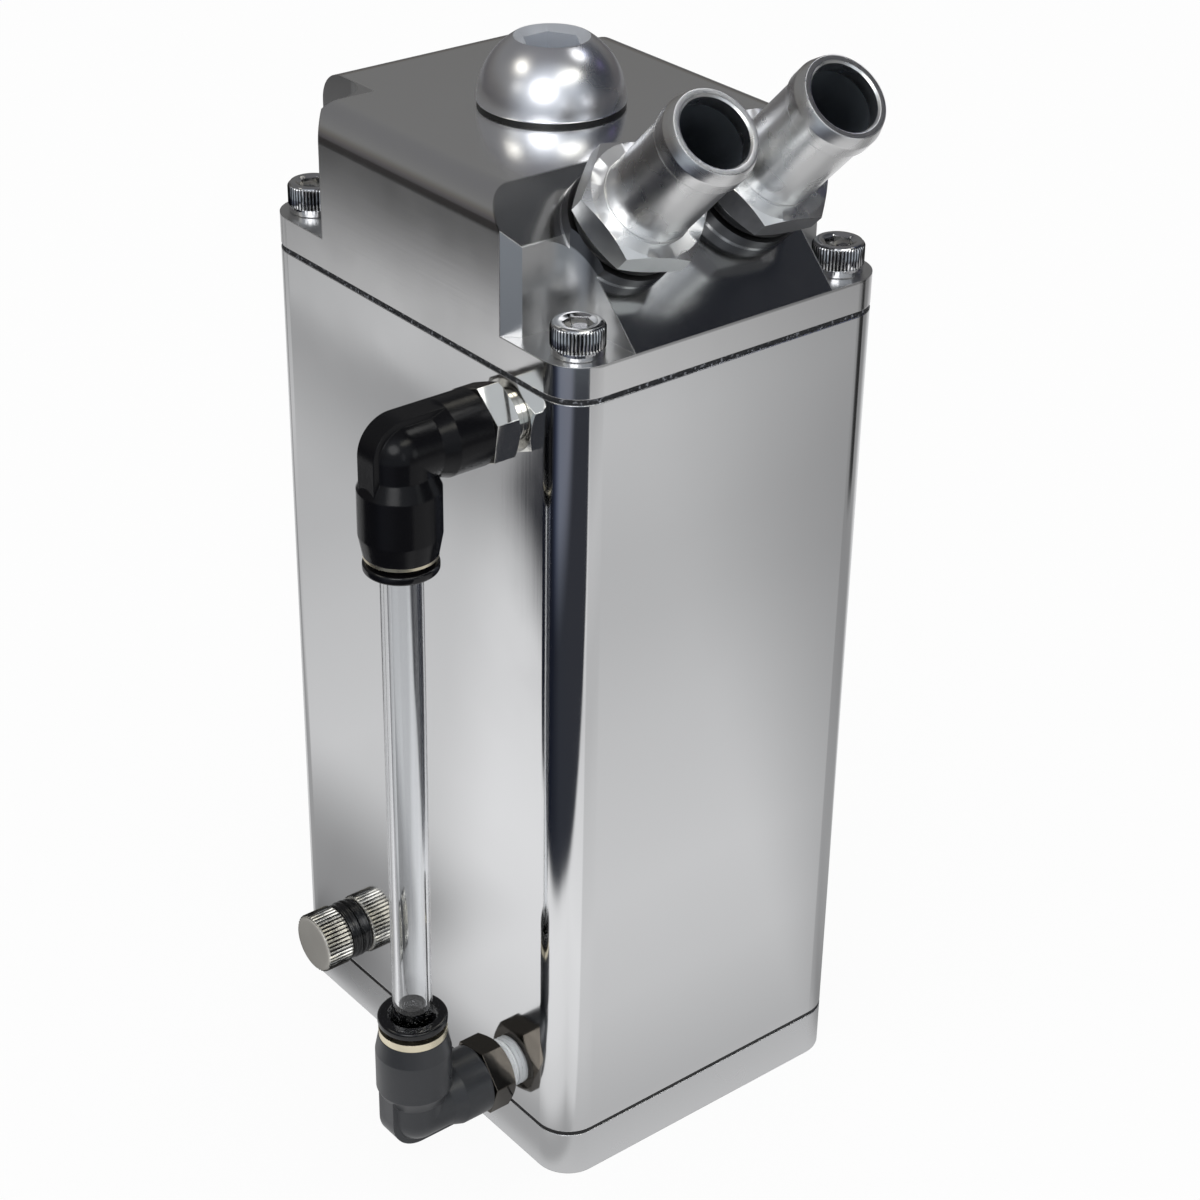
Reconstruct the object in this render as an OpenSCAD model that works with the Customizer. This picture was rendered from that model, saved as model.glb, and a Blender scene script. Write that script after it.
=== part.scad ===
// Oil catch can: a square aluminium tank with a screwed lid and base, two
// hose barbs on the sloping front of the lid, a domed filler plug on top,
// a sight tube between two push-in elbows, and a hand-turned drain plug.
// Frame: origin at the middle of the base's underside, +Z up, front at -Y,
// the sight tube and the drain on the -X side. Lengths are in millimetres.

/* [Tank] */
// Width of the tank, side to side
body_w = 76; // [72:1:90]
// Depth of the tank, front to back
body_d = 97; // [94:1:120]
// Radius of the four upright corners
corner_r = 7.5; // [5:0.5:8]
// Thickness of the tank's walls
wall = 5; // [4:0.5:6]
// Height of the tank's tube, without lid and base
body_h = 165.2; // [150:1:220]
// Radius of the screw column in each corner
column_r = 6.5; // [6:0.1:6.8]
// Thickness of the base plate
base_t = 10.3; // [9.5:0.1:14]
// Thickness of the seal under the tank
base_gasket_t = 1; // [0.6:0.1:2]
// Thickness of the seal under the lid
lid_gasket_t = 1.1; // [0.6:0.1:2]

/* [Lid] */
// Thickness of the lid at its four screws
lid_flange_t = 6.2; // [5:0.1:8]
// Full height of the lid
lid_h = 31.7; // [29:0.1:36]
// Angle of the sloping front
slope_angle = 44.5; // [40:0.5:48]
// Radius of the rounded top edges
shoulder_r = 6.5; // [2:0.1:7]
// Gap between the screw heads and the pockets' long walls
pocket_gap_x = 2.4; // [1.5:0.1:3]
// Gap between the screw heads and the pockets' cross walls
pocket_gap_y = 5.5; // [3.5:0.1:6.5]
// Width of the flare at the pockets' open side
pocket_flare = 2.8; // [1:0.1:4]
// Radius in the pockets' inner corners
pocket_r = 7.3; // [5:0.1:7.5]
// Thickness of the lid's roof over its hollow
roof_t = 10; // [8:0.5:12]
// Thickness of the lid's sides beside its hollow
lid_side_wall = 13; // [12:1:15]
// Thickness of the lid's front and back beside its hollow
lid_end_wall = 24; // [23.5:0.5:27]

/* [Screws] */
// Thread diameter of the lid and base screws
screw_d = 6; // [5:0.5:6]
// Diameter of the screw heads
screw_head_d = 10; // [9:0.5:10.5]
// Height of the screw heads
screw_head_h = 6; // [4:0.5:6.5]
// Across flats of the screw heads' sockets
screw_socket_af = 5; // [4:0.5:6]
// Length of the lid screws below the head
lid_screw_l = 25; // [20:1:30]
// Length of the base screws below the head
base_screw_l = 16; // [14:1:20]
// Distance of the screws from the side faces
screw_in_x = 7; // [6.8:0.1:7.4]
// Distance of the screws from the front and back
screw_in_y = 6.8; // [6.6:0.1:7.2]
// Ridges around a screw head's knurl
head_ridges = 36; // [24:1:44]

/* [Hose barbs] */
// Distance between the two barbs' axes
port_spacing = 29.5; // [29:0.1:30]
// Distance up the slope to the barbs' axes
port_up = 22.6; // [21.5:0.1:23]
// Radius of the round seat under each barb
boss_r = 11.4; // [11:0.1:11.6]
// Height of the round seat over the slope
boss_h = 2.85; // [2:0.05:4]
// Thread diameter of the barbs
port_thread_d = 16; // [14:0.5:16]
// Thread length of the barbs
port_thread_l = 13; // [10:0.5:15]
// Across flats of the barbs' hexagon
barb_af = 22.4; // [21:0.1:22.7]
// Height of the barbs' hexagon
barb_hex_h = 5.6; // [4:0.1:8]
// Outer diameter of the barbs' stem
stem_d = 17; // [15:0.5:17.5]
// Length from the hexagon to the barb's tip
stem_l = 24.4; // [20:0.1:32]
// Diameter of the swollen end that holds the hose
bead_d = 18; // [17:0.1:19.5]
// Length of the swollen end
bead_l = 5.3; // [4:0.1:8]
// Length of the cone at the barb's tip
nose_l = 2.3; // [1:0.1:3]
// Turn of the left barb's hexagon
barb_turn_left = -16; // [-30:1:30]
// Turn of the right barb's hexagon
barb_turn_right = -7; // [-30:1:30]
// Bore of the barbs
barb_bore_d = 13.4; // [10:0.2:13.6]
// Cord thickness of the barbs' O-rings
barb_oring_t = 2.65; // [1.8:0.05:3]

/* [Filler plug] */
// Distance of the plug behind the middle of the lid
plug_y = 6; // [0:0.5:8]
// Diameter of the dome
dome_d = 28.6; // [25:0.1:30]
// Across flats of the key socket
plug_socket_af = 10; // [8:0.5:10]
// Depth of the key socket from the top of the dome
plug_socket_l = 9.5; // [7:0.5:11]
// Thread diameter of the plug
plug_thread_d = 20; // [16:0.5:20]
// Thickness of the seal under the dome
plug_seal_t = 0.7; // [0.5:0.1:1.5]

/* [Sight gauge] */
// Outer diameter of the sight tube
tube_d = 8; // [7:0.5:8]
// Wall thickness of the sight tube
tube_wall = 1.25; // [0.8:0.05:1.5]
// Distance from the tank's side to the sight tube's axis
tube_out = 22.7; // [22:0.1:26]
// Distance of gauge and drain from the rows of screws, towards the middle
side_port_in = 12.7; // [12.7:0.1:15]
// Height of the lower elbow's axis above the tank's lower end
gauge_low_rise = 7.9; // [7.4:0.1:12]
// Depth of the upper elbow's axis below the tank's upper end
gauge_high_drop = 8.2; // [7.7:0.1:40]
// Across flats of the studs' hexagon
stud_af = 13.8; // [12:0.1:14]
// Length of the studs' hexagon
stud_hex_l = 5.3; // [4:0.1:6]
// Gap between the upper stud's hexagon and the tank's side
stud_gap_upper = 1.2; // [0.8:0.1:2.8]
// Gap between the lower stud's hexagon and the tank's side
stud_gap_lower = 2.3; // [1:0.1:2.8]
// Turn of the upper stud's hexagon
stud_turn_upper = 8.7; // [-30:0.1:30]
// Turn of the lower stud's hexagon
stud_turn_lower = -19; // [-30:0.1:30]
// Thread diameter of the studs
stud_thread_d = 9.7; // [8:0.1:9.7]
// Bore of studs and elbows
gauge_bore_d = 5.5; // [4:0.1:5.5]
// Outer diameter of the elbows' sleeves
sleeve_d = 15.4; // [15:0.1:17]
// Outer diameter of the elbows' arms
arm_d = 14.6; // [13.5:0.1:15]
// Length from an elbow's middle to its sleeve's mouth
sleeve_l = 19.9; // [19.5:0.1:24]
// How far a release ring can be pressed in
press_travel = 1; // [0.6:0.1:1]
// Visible length of the upper guide ring
guide_show_upper = 0.6; // [0.4:0.1:2]
// Visible length of the lower guide ring
guide_show_lower = 1.7; // [0.4:0.1:2]
// Outer diameter of the release rings
release_d = 14.1; // [13:0.1:14.8]
// Thickness of the release rings' collar
release_t = 1.8; // [1.2:0.1:2.5]

/* [Drain] */
// Height of the drain's axis above the tank's lower end
drain_rise = 7.7; // [7:0.1:12]
// Diameter of the knurled drain knob
knob_d = 13.4; // [12:0.1:14]
// Length of the drain knob
knob_l = 6.6; // [5:0.1:12]
// Ridges around the drain knob
knob_ridges = 40; // [24:1:48]
// Thickness of the rubber washer
drain_washer_t = 2.6; // [1.5:0.1:3]
// Thread diameter of the drain
drain_thread_d = 10; // [8:0.5:10]

/* [Inside and underneath] */
// Thickness of the baffle's sheet
baffle_t = 1.5; // [1:0.1:2]
// Height of the baffle below the lid
baffle_drop = 26; // [20:1:40]
// Depth of the baffle, front to back
baffle_d = 48; // [40:1:56]
// Diameter of the baffle's holes
baffle_hole_d = 5; // [3:0.5:6]
// Thread diameter of the baffle's screws
baffle_screw_d = 4; // [3:0.5:4]
// Distance between the two bracket holes under the base
bracket_hole_gap = 40; // [30:1:44]
// Tapping size of the bracket holes
bracket_hole_d = 5; // [4:0.1:5.5]
// Depth of the bracket holes
bracket_hole_l = 8; // [6:0.5:8.5]

/* [Hidden] */
$fn = 64;

// Cutting tools reach this far past the face that they cut
past = 1;
// Radial play of a screw in its thread, modelled as plain cylinders
thread_play = 0.05;
// Radial play of a screw in a clearance hole
hole_play = 0.3;
// Radial play of parts that slide on each other
slide_play = 0.08;
// Play of seals and rings in their seats
seat_play = 0.05;
// Depth of the screw heads' knurl, and height of the bevelled crown over it
head_knurl = 0.25;
head_crown_h = 0.7;

// Heights of the stack
tube_z = base_t + base_gasket_t;
tube_top = tube_z + body_h;
lid_z = tube_top + lid_gasket_t;
flange_z = lid_z + lid_flange_t;
lid_top = lid_z + lid_h;
roof_z = lid_top - roof_t;

// Screw corners, seen from above
screw_x = body_w / 2 - screw_in_x;
screw_y = body_d / 2 - screw_in_y;
inner_w = body_w - 2 * wall;
inner_d = body_d - 2 * wall;
inner_r = max(corner_r - wall, 1);

// Screw pockets and hollow of the lid
end_land = screw_x - screw_head_d / 2 - pocket_gap_x;
pocket_y = screw_y - screw_head_d / 2 - pocket_gap_y;
side_land = pocket_y - pocket_flare;
hollow_w = body_w - 2 * lid_side_wall;
hollow_y = body_d / 2 - lid_end_wall;
hollow_r = 6;

// Sloping front of the lid, and the barbs' seats on it
slope_y = -body_d / 2 + port_up * cos(slope_angle);
slope_z = flange_z + port_up * sin(slope_angle);
port_depth = 30;
washer_face = 0.4;
seat_to_hex = boss_h + barb_oring_t + washer_face;
barb_oring_r = port_thread_d / 2 + 0.25 + barb_oring_t / 2;
stem_ring_r = stem_d / 2 + 0.2;
stem_ring_h = 0.4;
bead_bevel = 0.15;
tip_drop = 0.8;
mouth_bevel = 0.35;

// Filler plug
dome_r = dome_d / 2;
plug_foot_z = lid_top + plug_seal_t;
plug_shank_l = roof_t - 0.1;
socket_rim_r = plug_socket_af * 0.74;
socket_throat_r = plug_socket_af * 0.56;
rim_h = sqrt(dome_r * dome_r - socket_rim_r * socket_rim_r);
throat_drop = 1;

// Sight gauge, measured from an elbow's middle
gauge_x = -body_w / 2 - tube_out;
side_port_y = screw_y - side_port_in;
gauge_low_z = tube_z + gauge_low_rise;
gauge_high_z = tube_top - gauge_high_drop;
arm_upper = tube_out - stud_gap_upper - stud_hex_l;
arm_lower = tube_out - stud_gap_lower - stud_hex_l;
core_r = 6.3;
arm_cone_end = 8.5;
sleeve_cone_end = 6.9;
cone_run = 3;
taper_run = 4;
taper_drop = 0.75;
fin_t = 5;
fin_r = 7;
neck_r = 4.7;
neck_end = 6;
neck_groove_a = 8.4;
neck_groove_l = 1.5;
neck_groove_r = 3.6;
stud_inside = 2.5;
tube_r = tube_d / 2;
tube_stop = 8.8;
gland_r = tube_r + 1.95;
gland_start = 12.2;
seal_r = (gland_r - tube_r) / 2 - seat_play;
seal_s = gland_start + seal_r + seat_play;
grip_tip = seal_s + seal_r + 0.15;
grip_t = 0.35;
grip_rise = 0.75;
grip_rim = grip_tip + grip_rise;
grip_slots = 8;
guide_bore_r = gland_r - 0.85;
guide_rim_r = sleeve_d / 2 - taper_drop - 0.05;
guide_start = grip_rim + grip_t + 0.1;
release_tube_r = guide_bore_r - slide_play;
release_bore_r = tube_r + slide_play;
release_start = guide_start + press_travel - 0.1;
release_gap = press_travel + 0.1;
edge_bevel = 0.4;

// Drain
drain_z = tube_z + drain_rise;
drain_shank_l = wall + 3;
knurl_depth = 0.4;
knob_bevel = 0.5;
knob_land = 0.4;

// Baffle
baffle_half_w = hollow_w / 2 + baffle_t + 0.5;
baffle_foot = inner_w / 2 - 0.5 - baffle_half_w + baffle_t;
baffle_screw_x = baffle_half_w + (baffle_foot - baffle_t) / 2;
baffle_floor_z = lid_z - baffle_drop;
baffle_pitch = 9;
pan_head_d = 1.45 * baffle_screw_d;
pan_head_h = 1.6;
baffle_screw_l = 5;

polished = [0.80, 0.81, 0.82];
steel = [0.70, 0.71, 0.73];
nickel = [0.78, 0.74, 0.66];
black_plastic = [0.06, 0.06, 0.065];
rubber = [0.03, 0.03, 0.03];
fibre = [0.12, 0.12, 0.13];
clear_tube = [0.85, 0.88, 0.90, 0.5];
tape_white = [0.93, 0.93, 0.92];

// Rectangle with round corners, made of true arcs
module round_rect(w, d, r) {
    square([w - 2 * r, d], center = true);
    square([w, d - 2 * r], center = true);
    for (x = [-1, 1], y = [-1, 1]) {
        translate([x * (w / 2 - r), y * (d / 2 - r)]) circle(r);
    }
}

// A shape repeated at the four screws
module at_screws() {
    for (x = [-1, 1], y = [-1, 1]) {
        translate([x * screw_x, y * screw_y]) children();
    }
}

// Outline of the hollow in the tank, with a screw column in each corner
module tank_hollow() {
    difference() {
        round_rect(inner_w, inner_d, inner_r);
        at_screws() circle(column_r);
    }
}

// Hexagonal prism with both ends bevelled at the corners
module hexagon(af, h, bevel_low, bevel_high) {
    r = af / sqrt(3);
    drop = (r - af / 2) * tan(30);
    low = bevel_low ? drop : 0;
    high = bevel_high ? drop : 0;
    intersection() {
        cylinder(h = h, r = r, $fn = 6);
        rotate_extrude() polygon([
            [0, 0], [bevel_low ? af / 2 : r, 0], [r, low],
            [r, h - high], [bevel_high ? af / 2 : r, h], [0, h]
        ]);
    }
}

// Ring of round section lying in the XY plane
module ring(centre_r, section_r) {
    rotate_extrude() translate([centre_r, 0]) circle(section_r, $fn = 32);
}

// Outline of a straight knurl
module knurl(r, ridges, depth) {
    polygon([for (i = [0 : 2 * ridges - 1])
        let (a = i * 180 / ridges, q = i % 2 == 0 ? r : r - depth)
        [q * cos(a), q * sin(a)]]);
}

// Cap screw standing on z = 0 with its thread downwards
module cap_screw(length) {
    r = screw_head_d / 2;
    foot = 0.2 * screw_head_h;
    crown = screw_head_h - head_crown_h;
    difference() {
        union() {
            cylinder(h = foot, r = r - 0.1);
            translate([0, 0, foot]) linear_extrude(crown - foot) knurl(r, head_ridges, head_knurl);
            translate([0, 0, crown]) {
                cylinder(h = head_crown_h, r1 = r - head_knurl - 0.05, r2 = r - head_knurl - head_crown_h);
            }
            translate([0, 0, -length]) cylinder(h = length + past / 2, r = screw_d / 2);
        }
        translate([0, 0, screw_head_h / 2]) {
            cylinder(h = screw_head_h, r = screw_socket_af / sqrt(3), $fn = 6);
        }
        translate([0, 0, screw_head_h - 0.4]) {
            cylinder(h = 0.4 + past, r1 = screw_socket_af / 2, r2 = screw_socket_af / 2 + 1.4);
        }
    }
}

// Moves its children onto a barb's seat, with +Z along the barb
module on_port(side) {
    translate([side * port_spacing / 2, slope_y, slope_z]) {
        rotate([slope_angle, 0, 0]) children();
    }
}

// Tank

module body_tube() color(polished) {
    difference() {
        translate([0, 0, tube_z]) linear_extrude(body_h) round_rect(body_w, body_d, corner_r);
        translate([0, 0, tube_z - past]) linear_extrude(body_h + 2 * past) tank_hollow();
        translate([0, 0, tube_top - lid_screw_l]) at_screws() {
            cylinder(h = lid_screw_l + past, r = screw_d / 2 + thread_play);
        }
        translate([0, 0, tube_z - past]) at_screws() {
            cylinder(h = base_screw_l + past, r = screw_d / 2 + thread_play);
        }
        for (z = [gauge_low_z, gauge_high_z]) {
            side_hole(-side_port_y, z, stud_thread_d / 2 + thread_play);
        }
        side_hole(side_port_y, drain_z, drain_thread_d / 2 + thread_play);
    }
}

// Hole through the tank's left wall
module side_hole(y, z, r) {
    translate([-body_w / 2 - past, y, z]) rotate([0, 90, 0]) cylinder(h = wall + 2 * past, r = r);
}

module base_plate() color(polished) {
    sunk = screw_head_h + 0.5;
    difference() {
        linear_extrude(base_t) round_rect(body_w, body_d, corner_r);
        at_screws() {
            translate([0, 0, -past]) cylinder(h = base_t + 2 * past, r = screw_d / 2 + hole_play);
            translate([0, 0, -past]) cylinder(h = sunk + past, r = screw_head_d / 2 + hole_play);
        }
        for (x = [-1, 1]) {
            translate([x * bracket_hole_gap / 2, 0, -past]) {
                cylinder(h = bracket_hole_l + past, r = bracket_hole_d / 2);
            }
        }
    }
}

module gasket(thickness) {
    inset = 0.15;
    linear_extrude(thickness) difference() {
        round_rect(body_w - 2 * inset, body_d - 2 * inset, corner_r - inset);
        tank_hollow();
        at_screws() circle(screw_d / 2 + hole_play);
    }
}

module base_gasket() color(rubber) {
    translate([0, 0, base_t]) gasket(base_gasket_t);
}

module lid_gasket() color(fibre) {
    translate([0, 0, tube_top]) gasket(lid_gasket_t);
}

module base_screws() color(steel) {
    translate([0, 0, screw_head_h + 0.5]) at_screws() {
        rotate([180, 0, 0]) cap_screw(base_screw_l);
    }
}

module lid_screws() color(steel) {
    translate([0, 0, flange_z]) at_screws() cap_screw(lid_screw_l);
}

// Lid

// Plan of one screw pocket, in the corner where x and y are positive
module pocket_plan() {
    far_x = body_w / 2 + past;
    far_y = body_d / 2 + past;
    flare = pocket_y - side_land;
    in_x = end_land + pocket_r;
    in_y = pocket_y + pocket_r;
    translate([in_x, in_y]) circle(pocket_r);
    translate([in_x, pocket_y]) square([far_x - in_x, far_y - pocket_y]);
    translate([end_land, in_y]) square([far_x - end_land, far_y - in_y]);
    polygon([
        [body_w / 2 - flare, pocket_y], [body_w / 2, side_land],
        [far_x, side_land], [far_x, pocket_y + past], [body_w / 2 - flare, pocket_y + past]
    ]);
}

// Plan of the raised block: the tank's outline less the four pockets
module block_plan() {
    difference() {
        round_rect(body_w, body_d, corner_r);
        for (x = [0, 1], y = [0, 1]) {
            mirror([x, 0]) mirror([0, y]) pocket_plan();
        }
    }
}

// The block seen from the front: a rectangle with both top corners rounded
module block_front() {
    r = shoulder_r;
    translate([-body_w / 2, lid_z]) square([body_w, lid_h - r]);
    translate([-body_w / 2 + r, lid_z]) square([body_w - 2 * r, lid_h]);
    for (x = [-1, 1]) {
        translate([x * (body_w / 2 - r), lid_top - r]) circle(r);
    }
}

// The block seen from its right side: sloping front, rounded top back edge
module block_side() {
    r = shoulder_r;
    back = body_d / 2;
    slope_run = (lid_top - flange_z) / tan(slope_angle);
    polygon([
        [-back, lid_z], [-back, flange_z], [-back + slope_run, lid_top],
        [back - r, lid_top], [back - r, lid_top - r], [back, lid_top - r], [back, lid_z]
    ]);
    translate([back - r, lid_top - r]) circle(r);
}

module lid_block() {
    intersection() {
        translate([0, 0, lid_z]) linear_extrude(lid_h) block_plan();
        union() {
            intersection() {
                translate([0, body_d / 2 + past, 0]) rotate([90, 0, 0]) {
                    linear_extrude(body_d + 2 * past) block_front();
                }
                translate([-body_w / 2 - past, 0, 0]) rotate([90, 0, 90]) {
                    linear_extrude(body_w + 2 * past) block_side();
                }
            }
            for (side = [-1, 1]) {
                on_port(side) translate([0, 0, -boss_h]) cylinder(h = 2 * boss_h, r = boss_r);
            }
        }
    }
}

module lid() color(polished) {
    difference() {
        union() {
            translate([0, 0, lid_z]) linear_extrude(lid_flange_t) round_rect(body_w, body_d, corner_r);
            lid_block();
        }
        translate([0, 0, lid_z - past]) {
            linear_extrude(roof_z - lid_z + past) round_rect(hollow_w, 2 * hollow_y, hollow_r);
        }
        for (side = [-1, 1]) {
            on_port(side) translate([0, 0, boss_h - port_depth]) {
                cylinder(h = port_depth + past, r = port_thread_d / 2 + thread_play);
            }
        }
        translate([0, plug_y, roof_z - past]) {
            cylinder(h = roof_t + 2 * past, r = plug_thread_d / 2 + thread_play);
        }
        translate([0, 0, lid_z - past]) at_screws() {
            cylinder(h = lid_flange_t + 2 * past, r = screw_d / 2 + hole_play);
        }
        for (x = [-1, 1]) {
            translate([x * baffle_screw_x, 0, lid_z - past]) {
                cylinder(h = baffle_screw_l + past, r = baffle_screw_d / 2 + thread_play);
            }
        }
    }
}

// Filler plug

module filler_plug() color(steel) {
    translate([0, plug_y, plug_foot_z]) difference() {
        union() {
            intersection() {
                sphere(dome_r);
                cylinder(h = dome_r, r = dome_r + past);
            }
            translate([0, 0, -plug_shank_l]) cylinder(h = plug_shank_l + past, r = plug_thread_d / 2);
        }
        translate([0, 0, rim_h - throat_drop]) {
            cylinder(h = throat_drop, r1 = socket_throat_r, r2 = socket_rim_r);
        }
        translate([0, 0, rim_h]) cylinder(h = dome_r, r = dome_r);
        translate([0, 0, rim_h - plug_socket_l]) {
            cylinder(h = plug_socket_l, r = plug_socket_af / sqrt(3), $fn = 6);
        }
    }
}

module filler_seal() color(rubber) {
    translate([0, plug_y, lid_top]) difference() {
        cylinder(h = plug_seal_t, r = dome_r - 0.15);
        translate([0, 0, -past]) {
            cylinder(h = plug_seal_t + 2 * past, r = plug_thread_d / 2 + hole_play);
        }
    }
}

// Hose barbs

// Barb with its hexagon's underside at z = 0
module hose_barb(turn) {
    tip = barb_hex_h + stem_l;
    stem_r = stem_d / 2;
    bead_r = bead_d / 2;
    bore_r = barb_bore_d / 2;
    difference() {
        union() {
            rotate([0, 0, turn]) hexagon(barb_af, barb_hex_h, true, true);
            translate([0, 0, -washer_face]) cylinder(h = washer_face, r = barb_af / 2 - 0.3);
            translate([0, 0, -washer_face - port_thread_l]) {
                cylinder(h = port_thread_l + washer_face, r = port_thread_d / 2);
            }
            rotate_extrude() polygon([
                [0, barb_hex_h - past], [stem_ring_r, barb_hex_h - past],
                [stem_ring_r, barb_hex_h + stem_ring_h], [stem_r, barb_hex_h + stem_ring_h],
                [stem_r, tip - bead_l], [bead_r - bead_bevel, tip - bead_l],
                [bead_r, tip - bead_l + bead_bevel], [bead_r, tip - nose_l],
                [bead_r - tip_drop, tip], [0, tip]
            ]);
        }
        translate([0, 0, -washer_face - port_thread_l - past]) {
            cylinder(h = tip + port_thread_l + 2 * past, r = bore_r);
        }
        translate([0, 0, tip - mouth_bevel]) {
            cylinder(h = mouth_bevel + past, r1 = bore_r, r2 = bore_r + mouth_bevel + past);
        }
    }
}

module hose_barb_left() color(polished) {
    on_port(-1) translate([0, 0, seat_to_hex]) hose_barb(barb_turn_left);
}

module hose_barb_right() color(polished) {
    on_port(1) translate([0, 0, seat_to_hex]) hose_barb(barb_turn_right);
}

module barb_oring(side) {
    on_port(side) translate([0, 0, boss_h + barb_oring_t / 2]) {
        ring(barb_oring_r, barb_oring_t / 2);
    }
}

module barb_oring_left() color(rubber) barb_oring(-1);

module barb_oring_right() color(rubber) barb_oring(1);

// Sight gauge

// Moves its children to an elbow's middle: +X points to the tank and -Z
// along the sleeve, with the lower elbow turned over
module at_elbow(low) {
    translate([gauge_x, -side_port_y, low ? gauge_low_z : gauge_high_z]) {
        mirror([0, 0, low ? 1 : 0]) children();
    }
}

// Moves its children to the sleeve's axis, with +Z outwards along it
module along_sleeve() {
    rotate([180, 0, 0]) children();
}

// Moves its children to the arm's axis, with +Z outwards to the tank
module along_arm() {
    rotate([0, 90, 0]) children();
}

// One moulding: a ball at the bend with a rib round its outside, an arm
// that turns on the stud, and the sleeve that holds the tube's fittings
module elbow(arm_l) {
    sleeve_r = sleeve_d / 2;
    difference() {
        union() {
            sphere(core_r);
            along_arm() rotate_extrude() polygon([
                [0, 0], [core_r, 0], [core_r, arm_cone_end - cone_run],
                [arm_d / 2, arm_cone_end], [arm_d / 2, arm_l - edge_bevel],
                [arm_d / 2 - edge_bevel, arm_l], [0, arm_l]
            ]);
            along_sleeve() rotate_extrude() polygon([
                [0, 0], [core_r, 0], [core_r, sleeve_cone_end - cone_run],
                [sleeve_r, sleeve_cone_end], [sleeve_r, sleeve_l - taper_run],
                [sleeve_r - taper_drop, sleeve_l], [0, sleeve_l]
            ]);
            translate([0, fin_t / 2, 0]) rotate([90, 0, 0]) linear_extrude(fin_t) {
                circle(fin_r);
                square([arm_cone_end, fin_r]);
                translate([-fin_r, -sleeve_cone_end]) square([fin_r, sleeve_cone_end]);
            }
        }
        along_arm() {
            cylinder(h = arm_l, r = gauge_bore_d / 2);
            translate([0, 0, neck_end - seat_play]) cylinder(h = arm_l, r = neck_r + seat_play);
        }
        along_sleeve() {
            cylinder(h = tube_stop, r = gauge_bore_d / 2);
            translate([0, 0, tube_stop]) cylinder(h = sleeve_l, r = tube_r + seat_play);
            translate([0, 0, gland_start]) cylinder(h = sleeve_l, r = gland_r);
        }
    }
}

// Hexagon stud: a neck inside the elbow, the hexagon, and a thread in the wall
module stud(arm_l, turn) {
    thread_start = arm_l + stud_hex_l;
    thread_end = tube_out + wall + stud_inside;
    along_arm() difference() {
        union() {
            translate([0, 0, neck_end]) cylinder(h = arm_l - neck_end + past, r = neck_r);
            translate([0, 0, arm_l]) rotate([0, 0, turn]) hexagon(stud_af, stud_hex_l, false, true);
            translate([0, 0, thread_start - past]) {
                cylinder(h = thread_end - thread_start + past, r = stud_thread_d / 2);
            }
        }
        translate([0, 0, neck_end - past]) {
            cylinder(h = thread_end - neck_end + 2 * past, r = gauge_bore_d / 2);
        }
        translate([0, 0, neck_groove_a]) difference() {
            cylinder(h = neck_groove_l, r = neck_r + past);
            translate([0, 0, -past]) cylinder(h = neck_groove_l + 2 * past, r = neck_groove_r);
        }
    }
}

module stud_oring() {
    section_r = (neck_r - neck_groove_r) / 2;
    along_arm() translate([0, 0, neck_groove_a + neck_groove_l / 2]) {
        ring(neck_groove_r + section_r, section_r - seat_play / 2);
    }
}

module tube_seal() {
    along_sleeve() translate([0, 0, seal_s]) ring(tube_r + seat_play + seal_r, seal_r);
}

// Spring-steel ring whose slotted fingers lean inwards and bite the tube
module grip_ring() {
    rim = gland_r - seat_play;
    tip = tube_r + seat_play;
    along_sleeve() difference() {
        rotate_extrude() polygon([
            [tip, grip_tip], [rim - 0.6, grip_rim], [rim, grip_rim],
            [rim, grip_rim + grip_t], [rim - 0.7, grip_rim + grip_t], [tip, grip_tip + grip_t]
        ]);
        for (i = [0 : grip_slots - 1]) {
            rotate([0, 0, i * 360 / grip_slots]) translate([0, -0.3, grip_tip - past]) {
                cube([rim - 0.8, 0.6, grip_rise + grip_t + 2 * past]);
            }
        }
    }
}

// Metal ring pressed into the sleeve's mouth
module guide_ring(show) {
    along_sleeve() rotate_extrude() polygon([
        [guide_bore_r, guide_start], [gland_r - seat_play, guide_start],
        [gland_r - seat_play, sleeve_l], [guide_rim_r, sleeve_l],
        [guide_rim_r, sleeve_l + show], [guide_bore_r, sleeve_l + show]
    ]);
}

// Ring that is pressed in to let go of the tube
module release_ring(show) {
    collar = sleeve_l + show + release_gap;
    far = collar + release_t;
    r = release_d / 2;
    along_sleeve() rotate_extrude() polygon([
        [release_bore_r, release_start], [release_tube_r, release_start],
        [release_tube_r, collar], [r - edge_bevel, collar], [r, collar + edge_bevel],
        [r, far - edge_bevel], [r - edge_bevel, far],
        [release_bore_r + 2 * edge_bevel, far], [release_bore_r, far - 2 * edge_bevel]
    ]);
}

module sight_tube() color(clear_tube) {
    low = gauge_low_z + tube_stop + seat_play;
    length = gauge_high_z - gauge_low_z - 2 * tube_stop - 2 * seat_play;
    translate([gauge_x, -side_port_y, low]) difference() {
        cylinder(h = length, r = tube_r);
        translate([0, 0, -past]) cylinder(h = length + 2 * past, r = tube_r - tube_wall);
    }
}

// White sealing tape round the lower stud's thread, outside the tank
module thread_tape() color(tape_white) {
    inner = stud_thread_d / 2 + seat_play;
    tape_t = 0.35;
    at_elbow(true) along_arm() translate([0, 0, arm_lower + stud_hex_l + seat_play]) difference() {
        cylinder(h = stud_gap_lower - 2 * seat_play, r = inner + tape_t);
        translate([0, 0, -past]) cylinder(h = stud_gap_lower + 2 * past, r = inner);
    }
}

module upper_stud() color(nickel) at_elbow(false) stud(arm_upper, stud_turn_upper);

module upper_stud_oring() color(rubber) at_elbow(false) stud_oring();

module upper_elbow() color(black_plastic) at_elbow(false) elbow(arm_upper);

module upper_tube_seal() color(rubber) at_elbow(false) tube_seal();

module upper_grip_ring() color(steel) at_elbow(false) grip_ring();

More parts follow.
